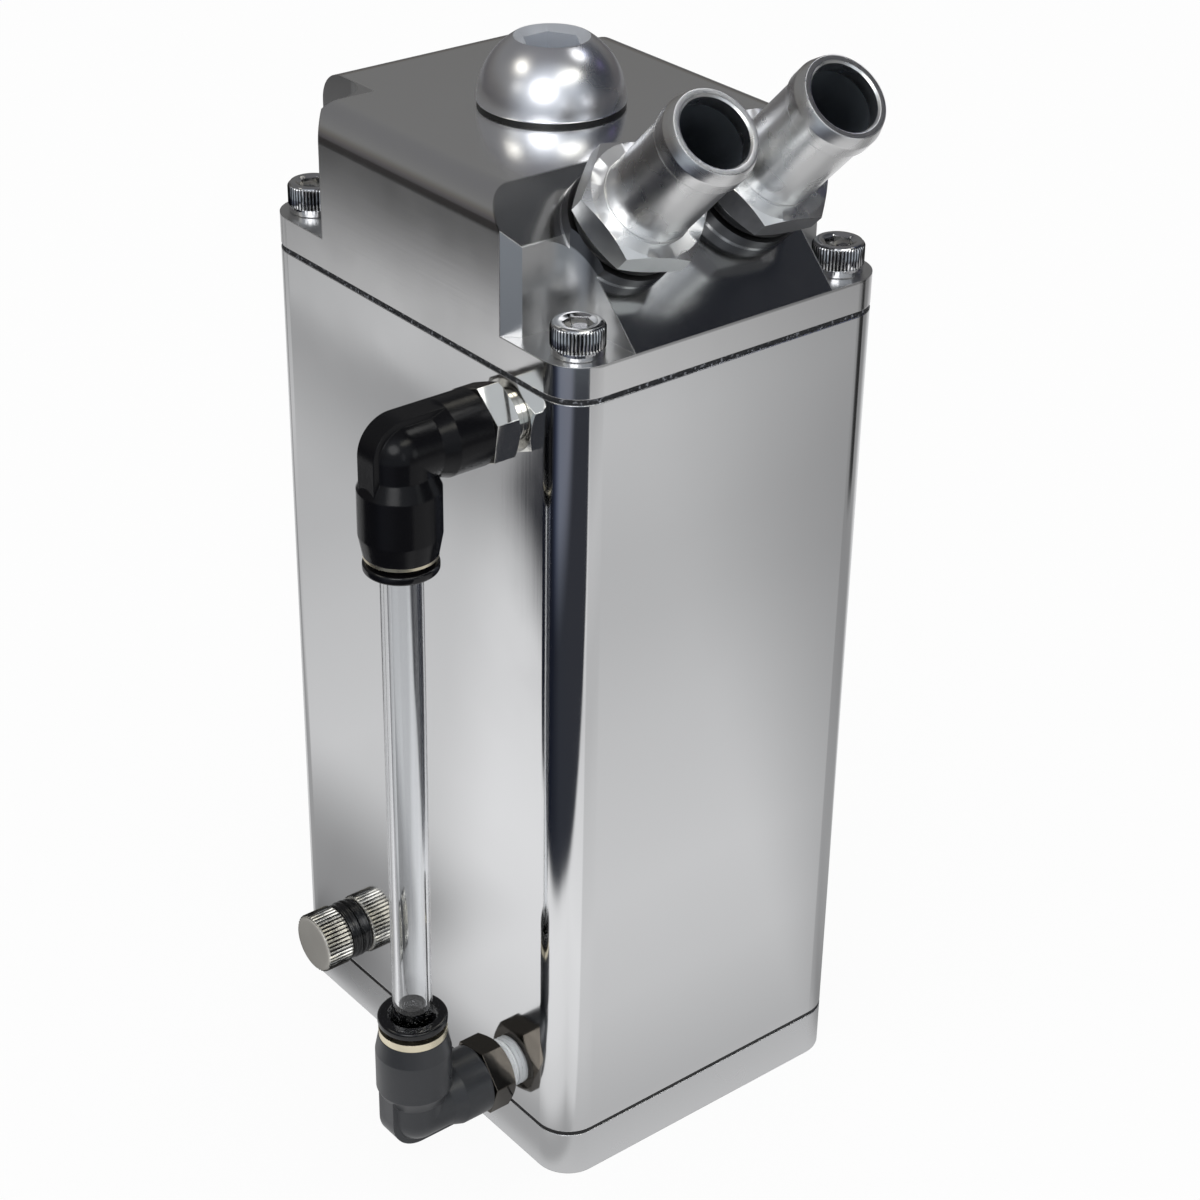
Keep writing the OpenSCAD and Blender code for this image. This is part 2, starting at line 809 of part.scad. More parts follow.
module upper_guide_ring() color(nickel) at_elbow(false) guide_ring(guide_show_upper);

module upper_release_ring() color(black_plastic) at_elbow(false) release_ring(guide_show_upper);

module lower_stud() color(nickel) at_elbow(true) stud(arm_lower, stud_turn_lower);

module lower_stud_oring() color(rubber) at_elbow(true) stud_oring();

module lower_elbow() color(black_plastic) at_elbow(true) elbow(arm_lower);

module lower_tube_seal() color(rubber) at_elbow(true) tube_seal();

module lower_grip_ring() color(steel) at_elbow(true) grip_ring();

module lower_guide_ring() color(nickel) at_elbow(true) guide_ring(guide_show_lower);

module lower_release_ring() color(black_plastic) at_elbow(true) release_ring(guide_show_lower);

// Drain

// Moves its children to the drain's axis, with +Z out of the tank's side
module at_drain() {
    translate([-body_w / 2, side_port_y, drain_z]) rotate([0, -90, 0]) children();
}

module drain_knob() color(steel) {
    r = knob_d / 2;
    core = r - knurl_depth - 0.05;
    at_drain() {
        translate([0, 0, drain_washer_t + knob_land]) {
            linear_extrude(knob_l - 2 * knob_land) knurl(r, knob_ridges, knurl_depth);
        }
        translate([0, 0, drain_washer_t]) {
            cylinder(h = knob_land + past, r1 = core - knob_bevel + knurl_depth, r2 = core);
        }
        translate([0, 0, drain_washer_t + knob_l - knob_land]) {
            cylinder(h = knob_land, r1 = core, r2 = core - knob_bevel + knurl_depth);
        }
        translate([0, 0, -drain_shank_l]) {
            cylinder(h = drain_shank_l + drain_washer_t + past, r = drain_thread_d / 2);
        }
    }
}

module drain_washer() color(rubber) {
    at_drain() difference() {
        cylinder(h = drain_washer_t, r = knob_d / 2 - 0.2);
        translate([0, 0, -past]) {
            cylinder(h = drain_washer_t + 2 * past, r = drain_thread_d / 2 + hole_play);
        }
    }
}

// Baffle

// Folded sheet seen from the front: two feet under the lid, two sides and a floor
module baffle_fold() {
    for (x = [0, 1]) {
        mirror([x, 0]) {
            translate([baffle_half_w - baffle_t, lid_z - baffle_t]) square([baffle_foot, baffle_t]);
            translate([baffle_half_w - baffle_t, baffle_floor_z]) square([baffle_t, baffle_drop]);
        }
    }
    translate([-baffle_half_w, baffle_floor_z]) square([2 * baffle_half_w, baffle_t]);
}

module baffle_plate() color(polished) {
    across = floor((2 * baffle_half_w - 2 * baffle_t - baffle_hole_d) / baffle_pitch);
    along = floor((baffle_d - baffle_hole_d - 2) / baffle_pitch);
    holes_z = baffle_floor_z - past;
    difference() {
        translate([0, baffle_d / 2, 0]) rotate([90, 0, 0]) linear_extrude(baffle_d) baffle_fold();
        for (i = [0 : across], j = [0 : along]) {
            translate([(i - across / 2) * baffle_pitch, (j - along / 2) * baffle_pitch, holes_z]) {
                cylinder(h = baffle_t + 2 * past, r = baffle_hole_d / 2, $fn = 24);
            }
        }
        for (x = [-1, 1]) {
            translate([x * baffle_screw_x, 0, lid_z - baffle_t - past]) {
                cylinder(h = baffle_t + 2 * past, r = baffle_screw_d / 2 + hole_play);
            }
        }
    }
}

module baffle_screws() color(steel) {
    for (x = [-1, 1]) {
        translate([x * baffle_screw_x, 0, lid_z - baffle_t]) difference() {
            union() {
                cylinder(h = baffle_t + baffle_screw_l - 0.5, r = baffle_screw_d / 2);
                translate([0, 0, -pan_head_h]) {
                    cylinder(h = pan_head_h, r1 = pan_head_d / 2 - 0.5, r2 = pan_head_d / 2);
                }
            }
            translate([0, 0, -pan_head_h - past]) {
                cylinder(h = pan_head_h / 2 + past, r = baffle_screw_d / 4, $fn = 6);
            }
        }
    }
}

body_tube();
base_plate();
base_gasket();
base_screws();
lid();
lid_gasket();
lid_screws();
filler_plug();
filler_seal();
hose_barb_left();
hose_barb_right();
barb_oring_left();
barb_oring_right();
sight_tube();
thread_tape();
upper_stud();
upper_stud_oring();
upper_elbow();
upper_tube_seal();
upper_grip_ring();
upper_guide_ring();
upper_release_ring();
lower_stud();
lower_stud_oring();
lower_elbow();
lower_tube_seal();
lower_grip_ring();
lower_guide_ring();
lower_release_ring();
drain_knob();
drain_washer();
baffle_plate();
baffle_screws();
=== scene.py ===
from math import radians

import bpy
import numpy as np
from bpy.props import FloatProperty, FloatVectorProperty, IntProperty, PointerProperty
from mathutils import Matrix, Vector


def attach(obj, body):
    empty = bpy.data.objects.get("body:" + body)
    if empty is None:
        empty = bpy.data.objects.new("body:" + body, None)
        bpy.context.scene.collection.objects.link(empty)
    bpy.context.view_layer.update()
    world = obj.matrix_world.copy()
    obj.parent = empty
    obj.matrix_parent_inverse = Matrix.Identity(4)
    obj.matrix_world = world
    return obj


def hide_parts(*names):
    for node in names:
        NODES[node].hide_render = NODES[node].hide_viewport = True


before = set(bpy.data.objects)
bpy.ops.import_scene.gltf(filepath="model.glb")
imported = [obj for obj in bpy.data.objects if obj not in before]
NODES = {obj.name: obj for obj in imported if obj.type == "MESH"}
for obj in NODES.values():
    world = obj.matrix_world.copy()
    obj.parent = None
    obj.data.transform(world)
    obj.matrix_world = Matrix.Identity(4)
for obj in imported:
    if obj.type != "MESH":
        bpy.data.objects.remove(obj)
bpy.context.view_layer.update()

bl_info = {
    "name": "Oil catch can",
    "version": (1, 0, 0),
    "blender": (4, 5, 0),
    "location": "3D View > Sidebar > Oil can",
    "description": "Finishes and fine pieces for a polished oil catch can",
    "category": "Object",
}

MM = 0.001

# Places of the CAD that the new pieces and finishes meet, in millimetres, and the lid's slope.
# PORT_UP runs from the slope's foot to a barb's seat, and BARB_RISE from the seat to its hexagon.
SLOPE = radians(44.5)
TANK_FRONT = 48.5
TANK_SIDE = 38.0
LID_FLANGE = 183.8
PLUG_Z = 210.0
PORT_SIDE = 14.75
PORT_UP = 22.6
BARB_RISE = 5.9
GAUGE = (-60.7, -29.0)
SCREW_X, SCREW_Y = 31.0, 41.7
BASE_SCREW_Z = 6.5


def length(name, text, millimetres):
    """A size in the sidebar, stored in metres."""
    return FloatProperty(
        name=name, description=text, default=millimetres * MM, unit="LENGTH", subtype="DISTANCE", precision=5)


def colour(name, text, value):
    """A linear colour in the sidebar."""
    return FloatVectorProperty(name=name, description=text, default=value, subtype="COLOR", min=0.0, max=1.0)


class BarbSizes(bpy.types.PropertyGroup):
    stem: length("Stem radius", "Outer radius of the barb's stem", 8.5)
    bead: length("Bead radius", "Radius of the swollen end", 9.0)
    bore: length("Bore radius", "Radius of the bore", 6.7)
    half_flats: length("Half across flats", "Half the width of the hexagon", 11.2)
    hex_height: length("Hexagon height", "Height of the hexagon", 5.6)
    tip: length("Tip", "Distance from the hexagon's underside to the tip", 30.0)


class PlugSizes(bpy.types.PropertyGroup):
    dome: length("Dome radius", "Radius of the domed head", 14.3)
    socket: length("Half socket width", "Half the width of the key socket", 5.0)
    pitch: length("Thread pitch", "Pitch of the plug's thread", 1.5)


class ScrewSizes(bpy.types.PropertyGroup):
    head: length("Head radius", "Radius of a cap screw's head", 5.0)
    height: length("Head height", "Height of a cap screw's head", 6.0)
    socket: length("Half socket width", "Half the width of the key socket", 2.5)
    ridges: IntProperty(name="Ridges", description="Ridges round a head", default=46, min=12, max=90)


class GaugeSizes(bpy.types.PropertyGroup):
    tube: length("Tube radius", "Outer radius of the sight tube", 4.0)
    bore: length("Tube bore", "Inner radius of the sight tube", 2.75)
    collar: length("Collar radius", "Radius of a release ring's collar", 7.05)


class DrainSizes(bpy.types.PropertyGroup):
    knob: length("Knob radius", "Radius of the drain knob", 6.7)
    ridges: IntProperty(name="Ridges", description="Ridges round the knob", default=44, min=12, max=90)


class FinishColours(bpy.types.PropertyGroup):
    aluminium: colour("Aluminium", "Polished tank and lid", (0.87, 0.875, 0.88))
    satin: colour("Satin aluminium", "Lid, polished less finely than the tank", (0.90, 0.90, 0.90))
    # Painted shade: the bosses' dark colour stands in for the shade and dark reflections round them.
    boss_painted_shade: colour("Painted boss shade", "Bosses under the hose barbs", (0.17, 0.17, 0.175))
    turned: colour("Turned aluminium", "Hose barbs", (0.90, 0.90, 0.895))
    milled: colour("Milled aluminium", "Left barb's hexagon", (0.84, 0.85, 0.85))
    # Painted dark reflection: the right barb's hexagon is given a dark colour where the left one is light,
    # standing in for the dark surroundings it reflects.
    painted_dark_hex: colour("Painted dark hexagon", "Right barb's hexagon", (0.24, 0.24, 0.25))
    bored: colour("Bored aluminium", "Inside of the hose barbs", (0.30, 0.33, 0.37))
    chrome: colour("Chrome", "Cap screws", (0.66, 0.66, 0.67))
    steel: colour("Steel", "Domed plug", (0.95, 0.96, 1.0))
    socket: colour("Socket steel", "Key socket of the domed plug", (0.66, 0.69, 0.74))
    nickel: colour("Nickel", "Upper hexagon stud", (1.0, 0.98, 0.92))
    # Dark plating, its near-black colour also a painted dark reflection of the surroundings it faces.
    dark_nickel_painted_shade: colour("Dark nickel with painted shade", "Lower hexagon stud", (0.09, 0.08, 0.068))
    knob: colour("Knob steel", "Drain knob", (0.66, 0.64, 0.59))
    brass: colour("Pale brass", "Guide rings", (0.90, 0.82, 0.62))
    nylon: colour("Black nylon", "Upper elbow and release rings", (0.004, 0.004, 0.005))
    charcoal: colour("Charcoal nylon", "Lower elbow", (0.026, 0.028, 0.032))
    rubber: colour("Black rubber", "Seals", (0.006, 0.006, 0.0065))
    fibre: colour("Gasket fibre", "Seal under the lid", (0.012, 0.013, 0.016))
    tape: colour("White tape", "Sealing tape", (0.86, 0.88, 0.90))


class StageSettings(bpy.types.PropertyGroup):
    lens: FloatProperty(
        name="Lens", description="Focal length of the camera", default=78.52, subtype="DISTANCE_CAMERA")
    sky: FloatProperty(
        name="Soft light", description="Level of the plain light from all round", default=0.85, min=0.0)
    lamps: FloatProperty(
        name="Lamps", description="Level of the lamps seen in the metal", default=1.0, min=0.0)


# Shapes

def around(count, start=0.0):
    """Even steps round a circle, from an angle in degrees."""
    return np.radians(start) + np.arange(count) * 2 * np.pi / count


def lathe(profile, angles):
    """A profile of radius and height turned about +Z: each pair becomes one ring."""
    profile = np.asarray(profile, float)
    return rings(profile[:, :1] + 0 * angles, profile[:, 1:] + 0 * angles, angles)


def rings(radius, height, angles):
    """Points at radius and height for every ring and angle: x = r cos a, y = r sin a, z = h."""
    radius, height = np.broadcast_arrays(np.asarray(radius, float), np.asarray(height, float))
    return np.stack([radius * np.cos(angles), radius * np.sin(angles), height], -1)


def hexagon_radius(half_flats, angles, corner=0.0):
    """Distance from a hexagon's middle to its edge: half flats over the cosine of the angle from
    the middle of the flat."""
    turn = np.mod(angles - np.radians(corner), np.pi / 3) - np.pi / 6
    return half_flats / np.cos(turn)


def ridge_wave(angles, count):
    """A rounded saw tooth from 0 in the grooves to 1 on the ridges, count times round."""
    return 1 - np.abs(np.cos(angles * count / 2)) ** 1.6


def arc(centre, radius, start, end, steps):
    """Profile points on a circle between two angles in degrees."""
    a = np.radians(np.linspace(start, end, steps))
    return [(centre[0] + radius * np.cos(t), centre[1] + radius * np.sin(t)) for t in a]


class Skin:
    """Gathers rings of points into one mesh, each ring joined to the next, with a texture map
    whose U runs once round a ring and whose V is the distance along the profile in metres."""

    def __init__(self):
        self.points, self.faces, self.map, self.slots, self.start = [], [], [], [], 0

    def add(self, stack, origin=(0, 0, 0), up=(0, 0, 1), side=(1, 0, 0), loop=False,
            caps=(False, False), slots=None):
        stack = np.asarray(stack, float)
        up, side = np.asarray(up, float), np.asarray(side, float)
        axes = np.stack([side, np.cross(up, side), up])
        n, m, _ = stack.shape
        i, j = np.meshgrid(np.arange(n if loop else n - 1), np.arange(m), indexing="ij")
        i, j = i.ravel(), j.ravel()
        after, beside = (i + 1) % n, (j + 1) % m
        quads = np.stack([i * m + j, i * m + beside, after * m + beside, after * m + j], -1) + self.start
        step = np.linalg.norm(np.diff(stack, axis=0, append=stack[:1]), axis=-1).mean(1)
        along = np.concatenate([[0.0], np.cumsum(step)])
        u, v0, v1 = j / m, along[i], along[i + 1]
        chart = np.stack([np.stack([u, u + 1 / m, u + 1 / m, u], -1), np.stack([v0, v0, v1, v1], -1)], -1)
        self.faces += quads.tolist()
        self.map.append(chart.reshape(-1, 2))
        self.slots.append(np.zeros(len(i), int) if slots is None else np.asarray(slots)[i])
        points = [stack.reshape(-1, 3)]
        total = n * m
        for wanted, ring, flip in ((caps[0], 0, True), (caps[1], n - 1, False)):
            if wanted:
                points.append(stack[ring].mean(0)[None])
                a, b = ring * m + np.arange(m), ring * m + (np.arange(m) + 1) % m
                a, b = (b, a) if flip else (a, b)
                fan = np.stack([a, b, np.full(m, total)], -1) + self.start
                radius = np.linalg.norm(stack[ring] - stack[ring].mean(0), axis=1).mean()
                ends = np.tile([[0.0, 0.0], [1 / m, 0.0], [0.5 / m, radius]], (m, 1))
                self.faces += fan.tolist()
                self.map.append(ends)
                self.slots.append(np.zeros(m, int))
                total += 1
        self.points.append(np.concatenate(points) @ axes * MM + np.asarray(origin, float) * MM)
        self.start += total
        return self

    def build(self, name, finishes, body, slot, replaced=()):
        """Makes the piece and hands it to its body. The slot argument is not used."""
        mesh = bpy.data.meshes.new(name)
        mesh.from_pydata(np.concatenate(self.points).tolist(), [], self.faces)
        chart = np.concatenate(self.map)
        chart[:, 1] *= MM
        mesh.uv_layers.new(name="surface").data.foreach_set("uv", chart.ravel())
        mesh.polygons.foreach_set("material_index", np.concatenate(self.slots).astype(np.int32))
        for finish in finishes:
            mesh.materials.append(finish)
        mesh.shade_smooth()
        mesh.set_sharp_from_angle(angle=radians(26))
        mesh.validate()
        mesh.update()
        piece = bpy.data.objects.new(name, mesh)
        bpy.context.scene.collection.objects.link(piece)
        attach(piece, body)
        if replaced:
            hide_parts(*replaced)
        return piece


# Finishes

class Finish:
    """A material with short ways to add and join nodes."""

    def __init__(self, name):
        self.material = bpy.data.materials.get(name)
        self.ready = self.material is not None
        if not self.ready:
            self.material = bpy.data.materials.new(name)
            self.material.use_nodes = True
            self.tree = self.material.node_tree
            self.shader = self.tree.nodes["Principled BSDF"]

    def node(self, kind, inputs=None, **settings):
        made = self.tree.nodes.new("ShaderNode" + kind)
        for key, value in settings.items():
            setattr(made, key, value)
        for key, value in (inputs or {}).items():
            if isinstance(value, bpy.types.NodeSocket):
                self.tree.links.new(value, made.inputs[key])
            else:
                made.inputs[key].default_value = value
        return made

    def set(self, **values):
        for key, value in values.items():
            socket = self.shader.inputs[key.replace("_", " ")]
            if isinstance(value, bpy.types.NodeSocket):
                self.tree.links.new(value, socket)
            else:
                is_colour = hasattr(value, "__len__") and len(value) == 3
                socket.default_value = (*value, 1.0) if is_colour else value

    def place(self, surface=False, scale=(1, 1, 1), turn=(0, 0, 0), origin=(0, 0, 0)):
        """Object coordinates, or the piece's own map, turned and scaled."""
        where = self.node("TexCoord").outputs["UV" if surface else "Object"]
        first = self.node("Mapping", {"Vector": where, "Location": origin, "Rotation": turn, "Scale": scale})
        return first.outputs["Vector"]

    def noise(self, where, scale, detail=2.0, rough=0.5, low=0.0, high=1.0, start=0.3, end=0.7):
        """Soft noise mapped from start..end to low..high."""
        made = self.node("TexNoise", {"Vector": where, "Scale": scale, "Detail": detail, "Roughness": rough})
        return self.span(made.outputs["Fac"], start, end, low, high)

    def span(self, value, start, end, low, high):
        inputs = {"Value": value, "From Min": start, "From Max": end, "To Min": low, "To Max": high}
        return self.node("MapRange", inputs).outputs["Result"]

    def sums(self, how, a, b):
        made = self.node("Math", operation=how)
        for k, value in enumerate((a, b)):
            if isinstance(value, bpy.types.NodeSocket):
                self.tree.links.new(value, made.inputs[k])
            else:
                made.inputs[k].default_value = value
        return made.outputs[0]

    def smooth(self, value, start, end):
        """Rises softly from 0 at start to 1 at end."""
        inputs = {"Value": value, "From Min": start, "From Max": end}
        return self.node("MapRange", inputs, interpolation_type="SMOOTHSTEP").outputs["Result"]

    def mixed(self, factor, first, second):
        """Colour that goes from the first to the second as the factor goes from 0 to 1."""
        made = self.node("Mix", data_type="RGBA")
        for k, value in ((0, factor), (6, first), (7, second)):
            if isinstance(value, bpy.types.NodeSocket):
                self.tree.links.new(value, made.inputs[k])
            else:
                made.inputs[k].default_value = (*value, 1.0) if k else value
        return made.outputs[2]

    def rounded(self, radius):
        """Normals that turn softly at an edge, as a polished or moulded edge does."""
        return self.node("Bevel", {"Radius": radius * MM}, samples=6).outputs["Normal"]

    def bump(self, height, distance, strength=1.0, normal=None):
        inputs = {"Height": height, "Distance": distance * MM, "Strength": strength}
        if normal is not None:
            inputs["Normal"] = normal
        return self.node("Bump", inputs).outputs["Normal"]


def polished(name, base, rough=(0.05, 0.11), edge=0.3, wave=0.05):
    """Hand-polished metal: a mirror with a slow ripple, hazy patches and very fine straight scratches."""
    f = Finish(name)
    if not f.ready:
        where = f.place()
        haze = f.noise(where, 35.0, 3.0, 0.6, rough[0], rough[1])
        lines = f.noise(f.place(scale=(900, 900, 25)), 1.0, 2.0, 0.6, -0.5, 0.5)
        slow = f.noise(where, 28.0, 1.0, 0.4, -0.5, 0.5, 0.2, 0.8)
        normal = f.bump(slow, wave, 1.0, f.rounded(edge))
        normal = f.bump(lines, 0.0012, 0.5, normal)
        f.set(Base_Color=base, Metallic=1.0, Roughness=haze, Normal=normal)
    return f.material


def lid_finish(name, base, boss_painted_shade):
    """The lid: satin polish, duller in the corner pockets where no wheel reaches and on the two bosses that stand
    above the slope; the height above the slope's plane finds them. Painted shade darkens the slope to 0.52 and
    the pockets to 0.70 of the base colour, and the bosses are painted dark as painted shade and dark reflection."""
    f = Finish(name)
    if not f.ready:
        where = f.place()
        x, y, z = f.node("SeparateXYZ", {"Vector": where}).outputs[:3]
        above = f.sums("ADD", f.sums("MULTIPLY", y, -np.sin(SLOPE)), f.sums("MULTIPLY", z, np.cos(SLOPE)))
        foot = TANK_FRONT * MM * np.sin(SLOPE) + LID_FLANGE * MM * np.cos(SLOPE)
        boss = f.smooth(above, foot + 0.0002, foot + 0.0006)
        slope = f.smooth(above, foot - 0.0005, foot - 0.0002)
        x, y = f.sums("ABSOLUTE", x, 0.0), f.sums("ABSOLUTE", y, 0.0)
        inner = f.sums("MULTIPLY", f.smooth(x, 0.0232, 0.0235), f.smooth(y, 0.0308, 0.0311))
        flare = f.sums("MULTIPLY", f.smooth(f.sums("ADD", x, y), 0.0660, 0.0663), f.smooth(x, 0.0347, 0.0351))
        pocket = f.sums("MULTIPLY", f.sums("MAXIMUM", inner, flare), f.smooth(z, 0.1834, 0.1839))
        haze = f.noise(where, 35.0, 3.0, 0.6, 0.11, 0.17)
        dull = f.sums("ADD", haze, f.sums("MULTIPLY", f.sums("MAXIMUM", boss, pocket), 0.17))
        lines = f.noise(f.place(scale=(900, 25, 900)), 1.0, 2.0, 0.6, -0.5, 0.5)
        slow = f.noise(where, 28.0, 1.0, 0.4, -0.5, 0.5, 0.2, 0.8)
        bare = f.node("NewGeometry").outputs["Normal"]
        softened = f.bump(slow, 0.02, 1.0, f.mixed(slope, f.rounded(0.2), bare))
        normal = f.bump(lines, 0.0012, 0.5, softened)
        # Painted shade: the slope's colour is darkened to 0.52 and the corner pockets' to 0.70 of the base,
        # standing in for the dark reflections and shade there.
        slope_painted_shade, pocket_painted_shade = (tuple(share * k for k in base) for share in (0.52, 0.70))
        shade = f.mixed(pocket, f.mixed(slope, base, slope_painted_shade), pocket_painted_shade)
        # The bosses take the painted shade colour in place of the lid's own.
        f.set(Base_Color=f.mixed(boss, shade, boss_painted_shade), Metallic=1.0, Roughness=dull, Normal=normal)
    return f.material


def turned(name, base, rough=(0.25, 0.32), lines=420.0, depth=0.0015, glint=0.5, metal=1.0):
    """Turned metal: fine rings round the piece, from noise that hardly changes round it, and a
    roughness that is drawn out round it, so lamps show as bands along the piece."""
    f = Finish(name)
    if not f.ready:
        fine = f.noise(f.place(True, (1.5, lines, 1)), 1.0, 3.0, 0.7, -0.5, 0.5)
        wide = f.noise(f.place(True, (0.5, lines / 9, 1)), 1.0, 1.0, 0.5, -0.5, 0.5)
        handled = f.noise(f.place(), 120.0, 2.0, 0.6, rough[0], rough[1])
        normal = f.bump(wide, depth, 0.5, f.bump(fine, depth))
        tangent = f.node("Tangent", direction_type="UV_MAP", uv_map="surface").outputs["Tangent"]
        f.set(
            Base_Color=base, Metallic=metal, Roughness=handled, Anisotropic=glint, Tangent=tangent,
            Normal=normal)
    return f.material


def milled(name, base, rough=(0.30, 0.42)):
    """Milled flats: fine lines across each flat, along the axis of the piece."""
    f = Finish(name)
    if not f.ready:
        cuts = f.noise(f.place(True, (420, 60, 1)), 1.0, 3.0, 0.7, -0.5, 0.5)
        patches = f.noise(f.place(), 220.0, 2.0, 0.6, rough[0], rough[1])
        normal = f.bump(cuts, 0.010, 1.0, f.rounded(0.12))
        f.set(Base_Color=base, Metallic=1.0, Roughness=patches, Normal=normal)
    return f.material


def milled_sheet(name, base):
    """Rolled sheet: long faint lines front to back, satin."""
    f = Finish(name)
    if not f.ready:
        roll = f.noise(f.place(scale=(1500, 20, 1500)), 1.0, 3.0, 0.6, -0.5, 0.5)
        haze = f.noise(f.place(), 90.0, 2.0, 0.5, 0.28, 0.4)
        f.set(Base_Color=base, Metallic=1.0, Roughness=haze, Normal=f.bump(roll, 0.004))
    return f.material


def plated(name, base, rough=(0.06, 0.14), edge=0.2):
    """Bright plating over a machined piece: slightly uneven, with pin-prick haze."""
    f = Finish(name)
    if not f.ready:
        where = f.place()
        haze = f.noise(where, 420.0, 4.0, 0.7, rough[0], rough[1])
        uneven = f.noise(where, 260.0, 2.0, 0.5, -0.5, 0.5)
        normal = f.bump(uneven, 0.012, 1.0, f.rounded(edge))
        f.set(Base_Color=base, Metallic=1.0, Roughness=haze, Normal=normal)
    return f.material


def knurled(name, base, ridges, rough=(0.10, 0.2)):
    """Plated knurl: bright crests, and grooves darkened in patches as painted shade. U runs once round the knurl.
    """
    f = Finish(name)
    if not f.ready:
        u = f.node("SeparateXYZ", {"Vector": f.place(True)}).outputs[0]
        crest = f.sums("COSINE", f.sums("MULTIPLY", u, 2 * np.pi * ridges), 0.0)
        patchy = f.noise(f.place(), 700.0, 2.0, 0.6, -0.25, 0.25)
        # Painted shade: the grooves are darkened to a tenth of the base colour.
        groove_painted_shade = f.smooth(f.sums("ADD", crest, patchy), 0.25, -0.45)
        dark = tuple(0.10 * k for k in base)
        haze = f.noise(f.place(), 420.0, 4.0, 0.7, rough[0], rough[1])
        f.set(Base_Color=f.mixed(groove_painted_shade, base, dark), Metallic=1.0, Roughness=haze)
    return f.material


def brushed(name, base):
    """Brushed metal round a plate's edge: short fine lines along the plate, dull patches where hands rub."""
    f = Finish(name)
    if not f.ready:
        lines = f.noise(f.place(scale=(60, 60, 2600)), 1.0, 3.0, 0.65, -0.5, 0.5)
        rubbed = f.noise(f.place(), 55.0, 3.0, 0.6, 0.20, 0.32)
        normal = f.bump(lines, 0.004, 0.8, f.rounded(0.3))
        f.set(Base_Color=base, Metallic=1.0, Roughness=rubbed, Normal=normal)
    return f.material


def moulded(name, base, rough=(0.26, 0.38), edge=0.35, grain=0.01, shine=0.5):
    """Moulded black plastic or rubber: soft edges, a faint grain and patches a little duller."""
    f = Finish(name)
    if not f.ready:
        where = f.place()
        dull = f.noise(where, 130.0, 3.0, 0.6, rough[0], rough[1])
        skin = f.noise(where, 900.0, 3.0, 0.6, -0.5, 0.5)
        slow = f.noise(where, 90.0, 1.0, 0.5, -0.5, 0.5)
        normal = f.bump(slow, 0.03, 1.0, f.rounded(edge))
        f.set(Base_Color=base, Roughness=dull, Specular_IOR_Level=shine, Normal=f.bump(skin, grain, 0.7, normal))
    return f.material


def fibre_gasket(name, base):
    """Compressed fibre sheet: dark, with pale flecks and a torn, grainy edge."""
    f = Finish(name)
    if not f.ready:
        where = f.place()
        flecks = f.noise(where, 1400.0, 2.0, 0.6, 0.0, 1.0, 0.56, 0.70)
        torn = f.noise(where, 900.0, 4.0, 0.7, -0.5, 0.5)
        dull = f.noise(where, 500.0, 2.0, 0.5, 0.35, 0.7)
        shade = f.mixed(flecks, base, (0.24, 0.25, 0.28))
        f.set(Base_Color=shade, Roughness=dull, Normal=f.bump(torn, 0.25))
    return f.material


def clear_plastic(name):
    """Clear tube: bends light like glass, with faint drawing lines along it."""
    f = Finish(name)
    if not f.ready:
        lines = f.noise(f.place(True, (60, 6, 1)), 1.0, 2.0, 0.5, -0.5, 0.5)
        haze = f.noise(f.place(), 200.0, 2.0, 0.5, 0.01, 0.04)
        f.set(
            Base_Color=(0.96, 0.97, 0.98), Roughness=haze, Transmission_Weight=1.0, IOR=1.46,
            Normal=f.bump(lines, 0.003))
    return f.material


def white_tape(name, base):
    """Glossy white sealing tape, with thin creases round it."""
    f = Finish(name)
    if not f.ready:
        creases = f.noise(f.place(True, (6, 3000, 1)), 1.0, 3.0, 0.6, -0.5, 0.5)
        haze = f.noise(f.place(), 500.0, 2.0, 0.5, 0.12, 0.3)
        f.set(Base_Color=base, Roughness=haze, Normal=f.bump(creases, 0.03))
    return f.material


def colours():
    return bpy.context.scene.oilcan_finish


def dress(material, *names):
    """Gives CAD nodes a finish, in their own material slots."""
    for name in names:
        slots = NODES[name].data.materials
        slots.clear()
        slots.append(material)


# Pieces

class OILCAN_OT_tank(bpy.types.Operator):
    """Finish the tank, lid, base, gaskets, studs, elbows and inner pieces"""
    bl_idname = "oilcan.tank"
    bl_label = "Tank finishes"

    def execute(self, context):
        c = colours()
        dress(polished("polished aluminium", c.aluminium), "body_tube")
        dress(brushed("brushed aluminium", c.aluminium), "base_plate")
        dress(lid_finish("satin aluminium", c.satin, c.boss_painted_shade), "lid")
        dress(milled_sheet("sheet aluminium", c.turned), "baffle_plate")
        dress(fibre_gasket("gasket fibre", c.fibre), "lid_gasket")
        dress(
            moulded("black rubber", c.rubber, (0.35, 0.5), 0.1), "base_gasket", "filler_seal",
            "barb_oring_left", "barb_oring_right", "upper_stud_oring", "lower_stud_oring",
            "upper_tube_seal", "lower_tube_seal")
        dress(plated("nickel plating", c.nickel), "upper_stud")
        # Dark plating whose near-black base colour is partly painted dark reflection.
        dress(plated("dark nickel with painted shade", c.dark_nickel_painted_shade, (0.08, 0.16), 0.3), "lower_stud")
        dress(moulded("black nylon", c.nylon, (0.17, 0.26), shine=0.22), "upper_elbow")
        dress(moulded("charcoal nylon", c.charcoal, (0.26, 0.38)), "lower_elbow")
        dress(plated("pale brass", c.brass, (0.25, 0.4), 0.1), "upper_guide_ring", "lower_guide_ring")
        dress(plated("spring steel", c.knob), "upper_grip_ring", "lower_grip_ring")
        dress(plated("chrome", c.chrome), "baffle_screws")
        return {"FINISHED"}


